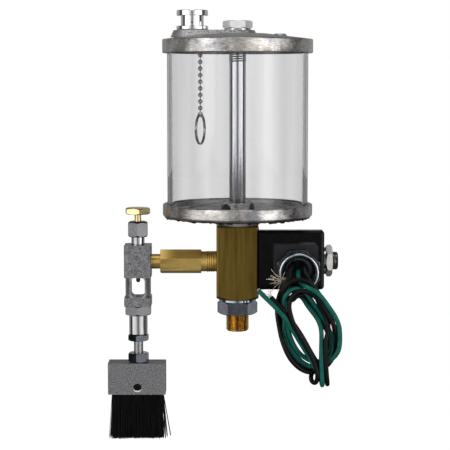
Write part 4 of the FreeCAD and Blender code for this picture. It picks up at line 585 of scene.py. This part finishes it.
LEAD_DIAMETER = 3.1 * MM
LEAD_ROUTES = {
    "lead_black_a": [
        (38.0, -21.6, 48.4), (38.0, -30.2, 49.3), (34.6, -37.1, 46.2), (34.0, -40.4, 41.5),
        (30.2, -41.7, 36.4), (27.2, -40.3, 30.7), (26.0, -38.3, 23.8), (25.8, -38.3, 17.7),
        (26.9, -40.6, 10.7), (28.1, -42.9, 4.1), (29.6, -44.7, -1.2), (32.7, -46.0, -8.8),
        (36.7, -45.9, -14.3), (41.3, -45.5, -18.4), (46.8, -44.5, -20.7), (52.7, -43.2, -20.1),
        (57.6, -41.6, -18.0), (61.9, -41.1, -13.2), (64.9, -41.1, -6.7), (65.1, -43.7, 0.3),
        (64.1, -45.6, 7.9), (61.5, -45.9, 14.0), (57.8, -46.0, 19.8), (54.7, -46.0, 25.1),
        (50.4, -46.0, 30.3), (46.3, -46.2, 32.7), (42.0, -46.9, 34.3), (37.8, -47.7, 33.1),
        (34.7, -48.3, 29.9), (33.2, -48.2, 25.1), (33.7, -48.6, 20.5), (36.0, -49.1, 12.6),
        (39.9, -49.1, 5.5), (43.7, -49.1, -0.6), (47.0, -49.1, -6.9), (49.8, -49.1, -12.7),
        (51.6, -49.1, -18.2), (52.3, -49.1, -23.0), (51.2, -45.9, -27.7), (48.3, -43.4, -26.7),
        (48.3, -40.8, -22.1), (51.6, -40.5, -18.8), (56.0, -38.8, -15.2), (59.4, -38.1, -9.8),
        (61.1, -37.7, -2.6), (59.6, -37.7, 4.8), (56.3, -38.0, 10.7), (52.4, -37.7, 16.2),
        (49.4, -38.0, 22.0), (46.9, -39.8, 27.2), (42.8, -41.4, 31.0), (38.2, -42.7, 29.9),
        (35.6, -42.7, 26.6), (32.3, -40.1, 28.8), (28.9, -37.7, 33.0), (29.1, -37.7, 36.6),
        (30.4, -37.8, 39.6),
    ],
    "lead_black_b": [
        (42.8, -21.6, 48.4), (42.8, -30.2, 49.2), (44.1, -37.2, 46.8), (46.0, -38.0, 41.0),
        (49.2, -38.2, 36.5), (53.0, -38.2, 31.4), (56.0, -38.2, 26.4), (59.2, -38.1, 20.6),
        (62.0, -38.0, 13.9), (63.8, -38.0, 7.4), (64.6, -37.9, 0.7), (64.2, -37.9, -5.3),
        (62.0, -38.0, -11.4), (59.2, -37.7, -16.5), (54.2, -37.7, -19.5), (48.6, -37.7, -19.6),
        (43.6, -37.7, -17.6), (39.0, -38.0, -13.7), (35.0, -38.0, -8.1), (32.1, -37.8, -1.8),
        (30.2, -37.7, 4.9), (29.1, -37.7, 12.1), (28.9, -37.8, 19.2), (29.1, -40.4, 26.1),
        (29.6, -43.7, 32.2), (32.3, -45.9, 38.6), (37.6, -45.7, 41.3), (43.6, -45.6, 40.8),
        (48.6, -45.6, 37.9), (50.6, -43.1, 32.7), (52.0, -42.7, 27.5), (54.3, -43.1, 22.6),
        (57.3, -43.3, 17.4), (59.4, -43.9, 12.2), (59.0, -46.4, 7.1), (57.4, -48.7, 1.7),
        (57.4, -49.1, -5.4), (57.6, -48.9, -14.0), (58.2, -48.1, -21.7), (58.8, -46.8, -27.3),
        (58.9, -44.3, -28.8), (58.1, -43.3, -25.3), (56.3, -45.2, -19.7), (53.8, -46.5, -15.8),
        (50.6, -46.4, -11.5), (47.4, -45.7, -6.1), (43.8, -45.7, 0.6), (40.4, -45.3, 6.3),
        (35.9, -45.1, 12.9), (32.1, -46.5, 17.9), (28.9, -47.2, 22.2), (25.0, -46.4, 26.0),
        (21.6, -44.6, 29.4),
    ],
    "lead_green": [
        (40.4, -21.6, 44.2), (40.6, -30.3, 45.4), (39.4, -36.8, 43.3), (40.5, -40.8, 39.0),
        (43.8, -46.1, 37.1), (47.9, -47.8, 35.0), (52.3, -47.7, 32.6), (56.2, -47.3, 27.9),
        (59.9, -46.7, 22.6), (63.5, -46.4, 17.4), (66.3, -46.4, 10.9), (66.8, -46.9, 5.3),
        (66.8, -47.0, -0.8), (65.9, -48.1, -5.7), (62.5, -47.3, -10.7), (57.5, -45.5, -13.4),
        (52.5, -43.4, -13.4), (47.9, -41.3, -13.5), (44.2, -41.5, -11.3), (40.6, -42.4, -8.4),
        (37.5, -42.8, -3.9), (35.0, -43.2, 1.1), (33.3, -42.9, 6.4), (32.7, -43.0, 11.7),
        (31.3, -43.2, 17.5), (30.2, -44.5, 23.9), (30.1, -45.8, 29.1), (33.0, -45.9, 33.1),
        (37.1, -45.1, 35.4), (41.8, -43.6, 34.5), (45.6, -43.3, 31.0), (47.9, -43.3, 27.6),
        (49.7, -42.2, 24.5), (54.0, -41.0, 18.6), (57.3, -40.5, 12.6), (60.1, -40.6, 7.3),
        (62.1, -41.0, 1.4), (62.0, -41.8, -5.2), (59.4, -41.3, -11.2), (55.9, -42.2, -15.2),
        (51.2, -43.1, -17.1), (46.6, -42.1, -16.9), (41.8, -41.5, -13.9), (38.2, -41.4, -10.1),
        (34.5, -41.0, -4.5), (31.7, -40.8, 1.9), (30.5, -40.9, 8.1), (30.9, -40.1, 14.1),
        (31.5, -40.0, 20.3), (32.4, -38.1, 25.9), (35.6, -37.7, 29.3), (39.7, -37.7, 30.2),
        (43.0, -38.1, 27.9), (45.5, -40.2, 23.6), (49.3, -41.6, 18.8), (52.4, -42.6, 14.7),
        (54.3, -45.0, 10.0), (54.8, -46.6, 5.3), (54.6, -47.5, -3.6), (54.4, -49.1, -11.8),
        (54.9, -49.1, -20.5), (55.3, -49.0, -26.6), (55.3, -47.7, -29.0), (54.8, -45.8, -25.6),
        (53.2, -46.0, -21.1), (50.9, -46.2, -17.6), (48.5, -44.9, -13.1), (45.0, -43.8, -7.3),
        (42.7, -44.1, -3.6), (39.6, -45.3, 1.6), (36.7, -46.7, 6.6), (33.5, -47.9, 11.4),
        (30.9, -48.9, 16.3), (27.2, -49.1, 20.4), (23.9, -48.6, 23.9), (20.2, -47.6, 27.4),
        (16.3, -46.2, 31.0), (13.6, -44.2, 33.7),
    ],
}
LEAD_NODES = {
    "lead_black_a": ("lead_black_a", "lead_tail_black_a", "lead_coil"),
    "lead_black_b": ("lead_black_b", "lead_tail_black_b"),
    "lead_green": ("lead_green", "lead_tail_green"),
}


def round_curve(name, radius, rounding, steps):
    curve = bpy.data.curves.new(name, "CURVE")
    curve.dimensions = "3D"
    curve.bevel_depth = radius
    curve.bevel_resolution = rounding
    curve.resolution_u = steps
    curve.use_fill_caps = True
    return curve


def add_line(curve, points):
    """A smooth line through the points' own hull, from the first point to the last."""
    spline = curve.splines.new("NURBS")
    spline.points.add(len(points) - 1)
    for target, point in zip(spline.points, points):
        target.co = (*point, 1)
    spline.order_u = 3
    spline.use_endpoint_u = True


def make_lead(name, route):
    """One lead as a smooth curve through the bundle, over its insulation."""
    curve = round_curve(name + "_wire", LEAD_DIAMETER / 2, 5, 10)
    add_line(curve, [Vector(point) * MM for point in route])
    slot = SLOT_OF[name]
    curve.materials.append(MATERIALS[slot])
    piece = in_scene(name + "_wire", curve)
    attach(piece, BODY_OF[name])
    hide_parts(*LEAD_NODES[name])
    return piece


STRAND_RADIUS = 0.17 * MM
# The bared ends: strands, the longest one in millimetres, how far they fan out, and which way.
BARED_ENDS = {
    "lead_black_a": (30, 6.5, 0.75, (-1.0, -0.05, 0.1)),
    "lead_black_b": (12, 5.5, 0.6, (-0.6, 0.1, 0.8)),
    "lead_green": (9, 2.0, 0.3, (-0.7, 0.1, 0.7)),
}


def make_bared_end(name, route):
    """A lead's fine strands, fanned out from the end of its insulation."""
    count, longest, fan, way = BARED_ENDS[name]
    draw = random.Random(name)
    end = Vector(route[-1]) * MM
    ahead = Vector(way).normalized()
    curve = round_curve(name + "_strands", STRAND_RADIUS, 1, 4)
    for _ in range(count):
        stray = Vector([draw.uniform(-1, 1) for _ in range(3)])
        stray.y = min(stray.y, 0.2) * 0.5
        root = end - ahead * 0.8 * MM + stray * 0.8 * MM
        length = draw.uniform(0.5, 1.0) * longest * MM
        bend = Vector([draw.uniform(-1, 1) for _ in range(3)]) * fan * 1.1
        steps = [k / 4 for k in range(5)]
        curls = [ahead + stray * fan * step + bend * step**2 for step in steps]
        add_line(curve, [root + curl * length * step for curl, step in zip(curls, steps)])
    holder = in_scene(name + "_strands", curve)
    mesh = evaluated_mesh(holder)
    bpy.data.objects.remove(holder)
    tip = name.replace("lead_", "lead_tip_")
    piece = new_piece(tip + "_strands", mesh, "copper_strands", BODY_OF[tip])
    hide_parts(tip)
    return piece


def make_leads():
    for name, route in LEAD_ROUTES.items():
        piece = make_lead(name, route)
        strands = make_bared_end(name, route)


# Camera, lamps and surroundings.

# The room as metal sees it: turn from straight in front (0) to straight behind (1), and brightness.
ROOM = [
    (0.0, 0.16), (0.1, 0.14), (0.17, 1.7), (0.4, 2.0), (0.45, 0.08), (0.56, 0.08),
    (0.62, 0.42), (0.86, 0.5), (0.97, 0.2),
]


def make_camera():
    data = bpy.data.cameras.new("camera")
    data.sensor_width = SENSOR
    data.lens = SENSOR * FOCAL_PIXELS / IMAGE_WIDTH
    data.clip_start = 0.05
    data.clip_end = 20
    camera = in_scene("camera", data)
    camera.location = CAMERA_PLACE
    camera.rotation_euler = (math.radians(90) - CAMERA_DROP, 0, 0)
    bpy.context.scene.camera = camera


def lamp(name, place_at, size, power):
    """A soft box that points at the oiler's middle. It lights, but isn't seen through glass."""
    data = bpy.data.lights.new(name, "AREA")
    data.shape = "RECTANGLE"
    data.size, data.size_y = size
    data.energy = power
    item = in_scene(name, data)
    item.location = place_at
    direction = Vector((0, 0, 0.1)) - Vector(place_at)
    item.rotation_euler = direction.to_track_quat("-Z", "Y").to_euler()
    item.visible_camera = False
    item.visible_transmission = False


def make_world():
    """White to the eye, also through glass. Metal sees a wide bright band on each side, with
    dark between them."""
    world = bpy.data.worlds.new("studio")
    world.use_nodes = True
    bpy.context.scene.world = world
    tree = world.node_tree
    tree.nodes.clear()
    way = tree.nodes.new("ShaderNodeTexCoord")
    x, y, z = add(tree, "ShaderNodeSeparateXYZ", Vector=way.outputs["Generated"]).outputs
    forward = maths(tree, "MULTIPLY", y, -1.0)
    side = maths(tree, "ABSOLUTE", maths(tree, "ARCTAN2", x, forward))
    turn = tree.nodes.new("ShaderNodeValToRGB")
    place(tree, turn, 0, maths(tree, "DIVIDE", side, math.pi))
    stops = turn.color_ramp.elements
    added = [stops.new(0.5) for _ in ROOM[2:]]
    for stop, (spot, level) in zip([stops[0], stops[1], *added], ROOM):
        stop.position = spot
        stop.color = (level, level, level, 1)
    low = rescale(tree, z, -0.5, -0.25, 0.2, 1.0)
    high = rescale(tree, z, 0.3, 0.55, 1.0, 0.3)
    seen_in_metal = maths(tree, "MULTIPLY", maths(tree, "MULTIPLY", turn.outputs[0], low), high)
    path = tree.nodes.new("ShaderNodeLightPath")
    bounces = maths(tree, "ADD", path.outputs["Glossy Depth"], path.outputs["Diffuse Depth"])
    straight = maths(tree, "LESS_THAN", bounces, 0.5)
    through = maths(tree, "MULTIPLY", path.outputs["Is Transmission Ray"], straight)
    plain = maths(tree, "MAXIMUM", path.outputs["Is Camera Ray"], through)
    matt = path.outputs["Is Diffuse Ray"]
    room = rescale(tree, matt, 0.0, 1.0, seen_in_metal, 0.4)
    strength = rescale(tree, plain, 0.0, 1.0, room, 1.0)
    light = add(tree, "ShaderNodeBackground", Color=(1, 1, 1, 1), Strength=strength)
    out = tree.nodes.new("ShaderNodeOutputWorld")
    link(tree, light.outputs[0], out.inputs["Surface"])


def make_floor():
    """A pale floor below the hanging oiler. It keeps a trace of the shadow. Metal sees it only
    through glass, and mirrors the room in its place."""
    mesh = bpy.data.meshes.new("floor")
    half, level = 6.0, -0.3
    corners = [
        (-half, -half, level), (half, -half, level), (half, half, level), (-half, half, level),
    ]
    mesh.from_pydata(corners, [], [(0, 1, 2, 3)])
    floor = in_scene("floor", mesh)
    floor.visible_glossy = False
    material, tree, shader, vector = new_material("Pale floor")
    shader.inputs["Base Color"].default_value = (0.9, 0.9, 0.9, 1)
    shader.inputs["Roughness"].default_value = 0.9
    path = tree.nodes.new("ShaderNodeLightPath")
    far = add(tree, "ShaderNodeVectorMath", operation="LENGTH")
    link(tree, vector, far.inputs[0])
    mirrored = rescale(tree, far.outputs["Value"], 0.5, 1.6, 0.42, 0.14)
    strength = rescale(tree, path.outputs["Glossy Depth"], 0.0, 1.0, 1.12, mirrored)
    glow = add(tree, "ShaderNodeEmission", Color=(1, 1, 1, 1), Strength=strength)
    mirrors, glass = path.outputs["Is Glossy Ray"], path.outputs["Is Transmission Ray"]
    sharp = maths(tree, "MAXIMUM", mirrors, glass)
    seen = maths(tree, "MAXIMUM", path.outputs["Is Camera Ray"], sharp)
    mix = tree.nodes.new("ShaderNodeMixShader")
    link(tree, maths(tree, "MULTIPLY", seen, 0.85), mix.inputs[0])
    link(tree, shader.outputs[0], mix.inputs[1])
    link(tree, glow.outputs[0], mix.inputs[2])
    link(tree, mix.outputs[0], tree.nodes["Material Output"].inputs["Surface"])
    mesh.materials.append(material)


def make_studio():
    make_camera()
    make_world()
    make_floor()
    lamp("key", (-0.9, -0.9, 0.55), (0.45, 1.0), 4.5)
    lamp("fill", (0.95, -0.8, 0.35), (0.4, 1.0), 3.5)
    lamp("top", (0.0, -0.2, 1.1), (0.8, 0.5), 2.6)
    bpy.context.scene.view_settings.view_transform = "Standard"


# Screw threads.


def ridge_mesh(name, radius, height, pitch, length, steps=36):
    """A thread's ridge round Z, from 0 up to length. A height below zero points it inwards."""
    count = round((length / pitch - 1) * steps)
    points, faces = [], []
    sunk = radius - math.copysign(0.08 * MM, height)
    for k in range(count + 1):
        angle = 2 * math.pi * k / steps
        middle = pitch * (0.5 + k / steps)
        fade = min(1.0, k / 6, (count - k) / 6)
        for r, z in ((sunk, -0.42), (radius + height * fade, 0.0), (sunk, 0.42)):
            points.append((r * math.cos(angle), r * math.sin(angle), middle + z * pitch))
    for k in range(count):
        for j in range(3):
            a, b = 3 * k + j, 3 * k + (j + 1) % 3
            faces.append((a, b, b + 3, a + 3))
    faces += [(2, 1, 0), (3 * count, 3 * count + 1, 3 * count + 2)]
    return outward_mesh(name, points, faces)


# Each ridge: the node it lies on, radius, height, pitch and length in millimetres, and where it
# starts and points.
RIDGES = {
    "nipple_thread": ("outlet_nipple", 6.9, 0.42, 1.41, 8.0, (-22.5, 0, 47.6), "X"),
    "core_thread": ("fixed_core", 6.0, 0.3, 1.3, 3.2, (64.8, 0, 48.1), "X"),
    "rod_thread": ("centre_rod", 5.5, 0.42, 1.5, 7.4, (0, 0, 181.8), "Z"),
    "hub_thread": ("conduit_hub", 10.62, -0.75, 1.81, 10.5, (40.4, -35.6, 44.0), "Y"),
}
TOWARDS = {
    "X": Matrix.Rotation(math.radians(90), 4, "Y"),
    "Y": Matrix.Rotation(math.radians(-90), 4, "X"),
    "Z": Matrix.Identity(4),
}
# The mounting stud, in millimetres from its lower end.
STUD_RADIUS, STUD_GRIP_RADIUS = 7.94, 7.6
STUD_SHOWING, STUD_HEIGHT, STUD_BEVEL = 11.7, 33.2, 1.2
STUD_PITCH, STUD_THREAD_DEPTH = 1.41, 0.95


def make_ridges():
    for name, (node, radius, height, pitch, length, start, way) in RIDGES.items():
        mesh = ridge_mesh(name, radius * MM, height * MM, pitch * MM, length * MM)
        mesh.transform(Matrix.Translation(Vector(start) * MM) @ TOWARDS[way])
        new_piece(name, mesh, SLOT_OF[node], BODY_OF[node])


def make_stud():
    """The mounting stud: a real thread below its nut, plain inside the nut and the valve body."""
    segments, steps = 80, 9
    rows = round(STUD_SHOWING / STUD_PITCH * steps)
    rings = []
    for row in range(rows + 1):
        height = STUD_SHOWING * row / rows

        def radius(angle, height=height):
            phase = (height / STUD_PITCH - angle / (2 * math.pi)) % 1
            groove = min(1.0, max(0.0, 2.3 * abs(phase - 0.5) - 0.12))
            cut = STUD_RADIUS - STUD_THREAD_DEPTH * groove
            return min(cut, STUD_RADIUS - STUD_BEVEL + height) * MM

        rings.append((radius, height * MM))
    rings += [
        (STUD_GRIP_RADIUS * MM, (STUD_SHOWING + 0.05) * MM),
        (STUD_GRIP_RADIUS * MM, (STUD_HEIGHT - STUD_BEVEL) * MM),
        ((STUD_GRIP_RADIUS - STUD_BEVEL) * MM, STUD_HEIGHT * MM),
    ]
    mesh = smoothed(revolved("stud_thread", rings, segments), 40)
    piece = new_piece("stud_thread", mesh, "stud_brass", BODY_OF["mounting_stud"])
    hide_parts("mounting_stud")


# Small forms that the solids leave out, and patches of painted shade and painted highlight.

PLATE_BOSS_DROP = 5.8
BLOCK_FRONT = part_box("brush_block")[0].y / MM
# Arches: x, half width, lower and upper height, front and length, in millimetres.
ARCHES = {
    "floor_arch_left": (-7.85, 3.25, 85.6, 90.5, -37.5, 4.0),
    "floor_arch_right": (9.0, 1.8, 85.6, 91.2, -37.5, 4.0),
}
# The arches' wall, and how far inside it the near-black plug of painted shade sits, in millimetres.
ARCH_WALL, SHADE_PLUG_INSET = 0.7, 0.75
# The painted shadow in an arch over the sight window: x, half width, lower and upper height, in
# millimetres.
WINDOW_ARCH_SHADOW = (-67.2, 1.9, 40.6, 42.4)


def make_torn_edge():
    """The ragged skin left along the bottom plate's lower edge, where the mould parted. Its
    near-black colour is painted shade under the rim.
    """
    low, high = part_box("bottom_plate")
    edge, level = (high.x - low.x) / 2, low.z + PLATE_BOSS_DROP * MM
    draw = random.Random("torn edge")
    count = 320
    points, faces = [], []
    lump = run = 0
    for k in range(count):
        angle = 2 * math.pi * k / count
        if run == 0:
            lump, run = draw.choice((0.25, 0.35, 0.5, 0.75, 1.0)), draw.randint(1, 4)
        run -= 1
        hang = (lump + draw.uniform(0.0, 0.3)) * MM
        out = draw.uniform(0.0, 0.5) * MM
        section = (
            (edge - 4.5 * MM, level + 0.3 * MM),
            (edge - 1.0 * MM - out, level + 0.55 * MM),
            (edge - 1.5 * MM - out, level - hang),
            (edge - 3.2 * MM + out, level - hang * 0.6),
        )
        points += [(r * math.cos(angle), r * math.sin(angle), z) for r, z in section]
    for k in range(count):
        for j in range(4):
            a, b = 4 * k + j, 4 * k + (j + 1) % 4
            c, d = 4 * ((k + 1) % count) + j, 4 * ((k + 1) % count) + (j + 1) % 4
            faces.append((a, c, d, b))
    mesh = outward_mesh("torn_edge", points, faces)
    new_piece("torn_edge", mesh, "cast_aluminium", "oiler", "shade_black")


def arch_mesh(name, x, half, low, high, front, length, wall):
    """A small round-topped tunnel that opens towards the front, shut at its back."""
    steps = 16
    points, faces = [], []
    for depth, shrink in ((0, 0), (0, wall), (length - wall, wall), (length, 0)):
        for k in range(steps + 1):
            angle = math.pi * k / steps
            side = x + (half - shrink) * math.cos(angle)
            height = low + (high - low - shrink) * math.sin(angle)
            points.append((side * MM, (front + depth) * MM, height * MM))
    row = steps + 1
    for j in range(4):
        for k in range(steps):
            a, b = j * row + k, (j + 1) % 4 * row + k
            if j != 2:
                faces.append((a, a + 1, b + 1, b))
    faces.append(tuple(range(2 * row, 3 * row)))
    faces.append(tuple(reversed(range(3 * row, 4 * row))))
    base = [(0, row, 2 * row, 3 * row), (row - 1, 2 * row - 1, 3 * row - 1, 4 * row - 1)]
    faces += [base[0], base[1][::-1]]
    return outward_mesh(name, points, faces)


def crescent_mesh(name, x, z, radius, thick):
    """A painted highlight: the pale crescent of light on the lower edge of a hole in the brush
    block's face.
    """
    steps = 16
    points, faces = [], []
    for front in (BLOCK_FRONT - 0.05, BLOCK_FRONT + 0.35):
        for reach in (radius, radius - thick):
            for k in range(steps + 1):
                angle = math.pi * (1 + (k + 0.5) / (steps + 1))
                spot = (x + radius * math.cos(angle), front, z + reach * math.sin(angle))
                points.append(tuple(side * MM for side in spot))
    row = steps + 1
    for first, second in ((0, 1), (1, 3), (3, 2), (2, 0)):
        for k in range(steps):
            a, b = first * row + k, second * row + k
            faces.append((a, a + 1, b + 1, b))
    faces += [(0, row, 3 * row, 2 * row), (row - 1, 2 * row - 1, 4 * row - 1, 3 * row - 1)]
    return outward_mesh(name, points, faces)


def make_small_forms():
    make_torn_edge()
    for name, sizes in ARCHES.items():
        mesh = smoothed(arch_mesh(name, *sizes, ARCH_WALL), 40)
        new_piece(name, mesh, "cast_aluminium", "oiler", "bright_aluminium")
        x, half, low, high, mouth, _ = sizes
        # Inside each arch a near-black plug: painted shade in its mouth.
        inside = (x, half - SHADE_PLUG_INSET, low, high - SHADE_PLUG_INSET, mouth + 0.5)
        shade_plug = arch_mesh(name + "_hollow", *inside, 1.0, 0.3)
        new_piece(name + "_hollow", shade_plug, "cast_aluminium", "oiler", "shade_black")
    low, high = (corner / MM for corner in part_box("set_screw"))
    middle, half = (low.z + high.z) / 2, (high.x - low.x) / 2 + 0.2
    # A pale satin nickel crescent on the hole's lower edge: a painted highlight.
    glint = crescent_mesh("screw_hole_glint", (low.x + high.x) / 2, middle, half, 0.95)
    new_piece("screw_hole_glint", glint, "brush_aluminium", "oiler", "satin_nickel")
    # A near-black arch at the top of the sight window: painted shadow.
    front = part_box("sight_body")[0].y / MM
    mark = arch_mesh("window_arch_shadow", *WINDOW_ARCH_SHADOW, front - 0.06, 0.5, 0.4)
    new_piece("window_arch_shadow", mark, "grey_aluminium", "oiler", "shade_black")


# Pieces that stand for CAD nodes.

# How far each node's sharp edges are broken, in millimetres.
EDGES = {
    "barrel_nut": 0.3, "body_gasket": 0, "bonnet": 0.2, "bottom_plate": 0, "brush_block": 0.25,
    "brush_nut": 0.3, "brush_strip": 0.1, "centre_rod": 0, "chain_eye": 0, "chain_link": 0,
    "coil_housing": 0.15, "coil_nut": 0.2, "coil_washer": 0.2, "conduit_hub": 0.25,
    "drip_nozzle": 0,
    "drop_barrel": 0, "drop_tube": 0.1, "filler_cap": 0, "filler_neck": 0, "knob": 0.2,
    "lock_nut": 0.3, "mounting_nut": 0.45, "mounting_washer": 0.15, "needle": 0,
    "packing_nut": 0.2, "reservoir_cylinder": 0.25, "set_screw": 0.1,
    "sight_body": 0.2, "top_cover": 0, "top_nut": 0.2, "top_washer": 0.2, "valve_body": 0.15,
    "lower_gasket": 0, "upper_gasket": 0, "armature_tube": 0, "fixed_core": 0, "plunger": 0,
    "valve_seal": 0, "packing": 0, "cap_seal_ring": 0, "return_spring": 0, "outlet_nipple": 0.15,
    "bead_chain": 0, "split_ring": 0.1,
}

# Nodes whose finish differs from the rest of their slot. The set screw's near-black is painted
# shade of the hole it sits in.
FINISHES = {
    "sight_body": "blasted", "bonnet": "bright_aluminium", "drop_barrel": "bright_aluminium",
    "coil_nut": "satin_nickel", "top_nut": "satin_nickel",
    "packing_nut": "satin_aluminium", "lock_nut": "satin_aluminium", "barrel_nut": "dark_plate",
    "brush_nut": "dark_plate", "set_screw": "shade_black",
}


def make_dressed():
    pieces = {node: dress(node, edge) for node, edge in EDGES.items()}
    spring = pieces["return_spring"]
    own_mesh(spring)


# The brush.


def random_vector(tree, low, high, seed):
    """A vector drawn for each point."""
    node = tree.nodes.new("FunctionNodeRandomValue")
    node.data_type = "FLOAT_VECTOR"
    node.inputs[0].default_value = low
    node.inputs[1].default_value = high
    place(tree, node, "Seed", seed)
    return node.outputs[0]


def grown(tree, name, values):
    """The plain mesh that a geometry tree makes."""
    holder = in_scene(name + "_holder", bpy.data.meshes.new(name + "_holder"))
    modifier = holder.modifiers.new("tree", "NODES")
    modifier.node_group = tree
    for identifier, value in values.items():
        modifier[identifier] = value
    mesh = evaluated_mesh(holder)
    bpy.data.objects.remove(holder)
    mesh.name = name
    return mesh


BRISTLE_INPUTS = {
    "NodeSocketFloat": ("Width", "Depth", "Length", "Thickness", "Lean", "Stray", "Splay"),
    "NodeSocketInt": ("Columns", "Rows", "Seed"),
}


def bristle_tree():
    """A row of hanging filaments, with its sizes as named inputs."""
    tree = bpy.data.node_groups.new("Bristle row", "GeometryNodeTree")
    sockets = {}
    for kind, labels in BRISTLE_INPUTS.items():
        for label in labels:
            sockets[label] = tree.interface.new_socket(label, in_out="INPUT", socket_type=kind)
    tree.interface.new_socket("Geometry", in_out="OUTPUT", socket_type="NodeSocketGeometry")
    given, made = tree.nodes.new("NodeGroupInput"), tree.nodes.new("NodeGroupOutput")
    value = given.outputs
    grid = add(tree, "GeometryNodeMeshGrid", Size_X=value["Width"], Size_Y=value["Depth"])
    place(tree, grid, "Vertices X", value["Columns"])
    place(tree, grid, "Vertices Y", value["Rows"])
    jitter = random_vector(tree, (-0.3 * MM, -0.3 * MM, 0), (0.3 * MM, 0.3 * MM, 0), value["Seed"])
    moved = add(tree, "GeometryNodeSetPosition", Geometry=grid.outputs["Mesh"], Offset=jitter)
    hair = add(tree, "GeometryNodeMeshCylinder", Radius=value["Thickness"], Depth=value["Length"])
    hair.inputs["Vertices"].default_value = 5
    drop = add(tree, "ShaderNodeCombineXYZ", Z=maths(tree, "MULTIPLY", value["Length"], -0.5))
    shaft = hair.outputs["Mesh"]
    hung = add(tree, "GeometryNodeSetPosition", Geometry=shaft, Offset=drop.outputs[0])
    chance = random_vector(tree, (-1, -1, 0), (1, 1, 3.1), maths(tree, "ADD", value["Seed"], 4.0))
    free = add(tree, "ShaderNodeSeparateXYZ", Vector=chance)
    position = tree.nodes.new("GeometryNodeInputPosition").outputs[0]
    where = add(tree, "ShaderNodeSeparateXYZ", Vector=position)
    across = maths(tree, "MULTIPLY_ADD", free.outputs[1], value["Stray"], value["Lean"])
    ahead = maths(tree, "MULTIPLY", free.outputs[0], value["Stray"])
    tilt = add(tree, "ShaderNodeCombineXYZ", X=ahead)
    place(tree, tilt, 1, maths(tree, "MULTIPLY_ADD", where.outputs[0], value["Splay"], across))
    place(tree, tilt, 2, free.outputs[2])
    size = random_vector(tree, (1, 1, 0.95), (1, 1, 1.0), maths(tree, "ADD", value["Seed"], 8.0))
    copies = add(
        tree,
        "GeometryNodeInstanceOnPoints",
        Points=moved.outputs[0],
        Instance=hung.outputs[0],
        Rotation=tilt.outputs[0],
        Scale=size,
    )
    real = add(tree, "GeometryNodeRealizeInstances", Geometry=copies.outputs[0])
    nylon = MATERIALS["bristle_nylon"]
    painted = add(tree, "GeometryNodeSetMaterial", Geometry=real.outputs[0], Material=nylon)
    link(tree, painted.outputs[0], made.inputs[0])
    return tree, sockets


# Each row: its middle from the brush's middle, in millimetres, then these values.
BRISTLE_VALUES = (
    "Width", "Depth", "Lean", "Stray", "Splay", "Thickness", "Columns", "Rows", "Seed"
)
BRISTLE_ROWS = {
    "bristles_main": (0.0, 33.6, 4.8, 0.0, 0.03, -1.6, 0.11, 150, 18, 3),
    "bristles_right": (16.6, 1.6, 4.4, -0.1, 0.075, 0.0, 0.19, 6, 6, 21),
    "bristles_left": (-16.3, 1.0, 4.0, 0.055, 0.03, 0.0, 0.19, 4, 5, 35),
}


def make_bristles():
    """The dense brush, and the stray filaments that stand out at its two ends."""
    low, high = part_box("bristles")
    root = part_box("brush_strip")[0].z + 3 * MM
    tree, sockets = bristle_tree()
    for name, (shift, *numbers) in BRISTLE_ROWS.items():
        values = dict(zip(BRISTLE_VALUES, numbers))
        for label in ("Width", "Depth", "Thickness"):
            values[label] *= MM
        values["Length"] = root - low.z
        mesh = grown(tree, name, {sockets[label].identifier: v for label, v in values.items()})
        centre = Vector(((low.x + high.x) / 2 + shift * MM, 0, root))
        mesh.transform(Matrix.Translation(centre))
        new_piece(name, mesh, "bristle_nylon", BODY_OF["bristles"])
    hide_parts("bristles")


make_studio()
make_leads()
make_dressed()
make_stud()
make_ridges()
make_small_forms()
make_bristles()
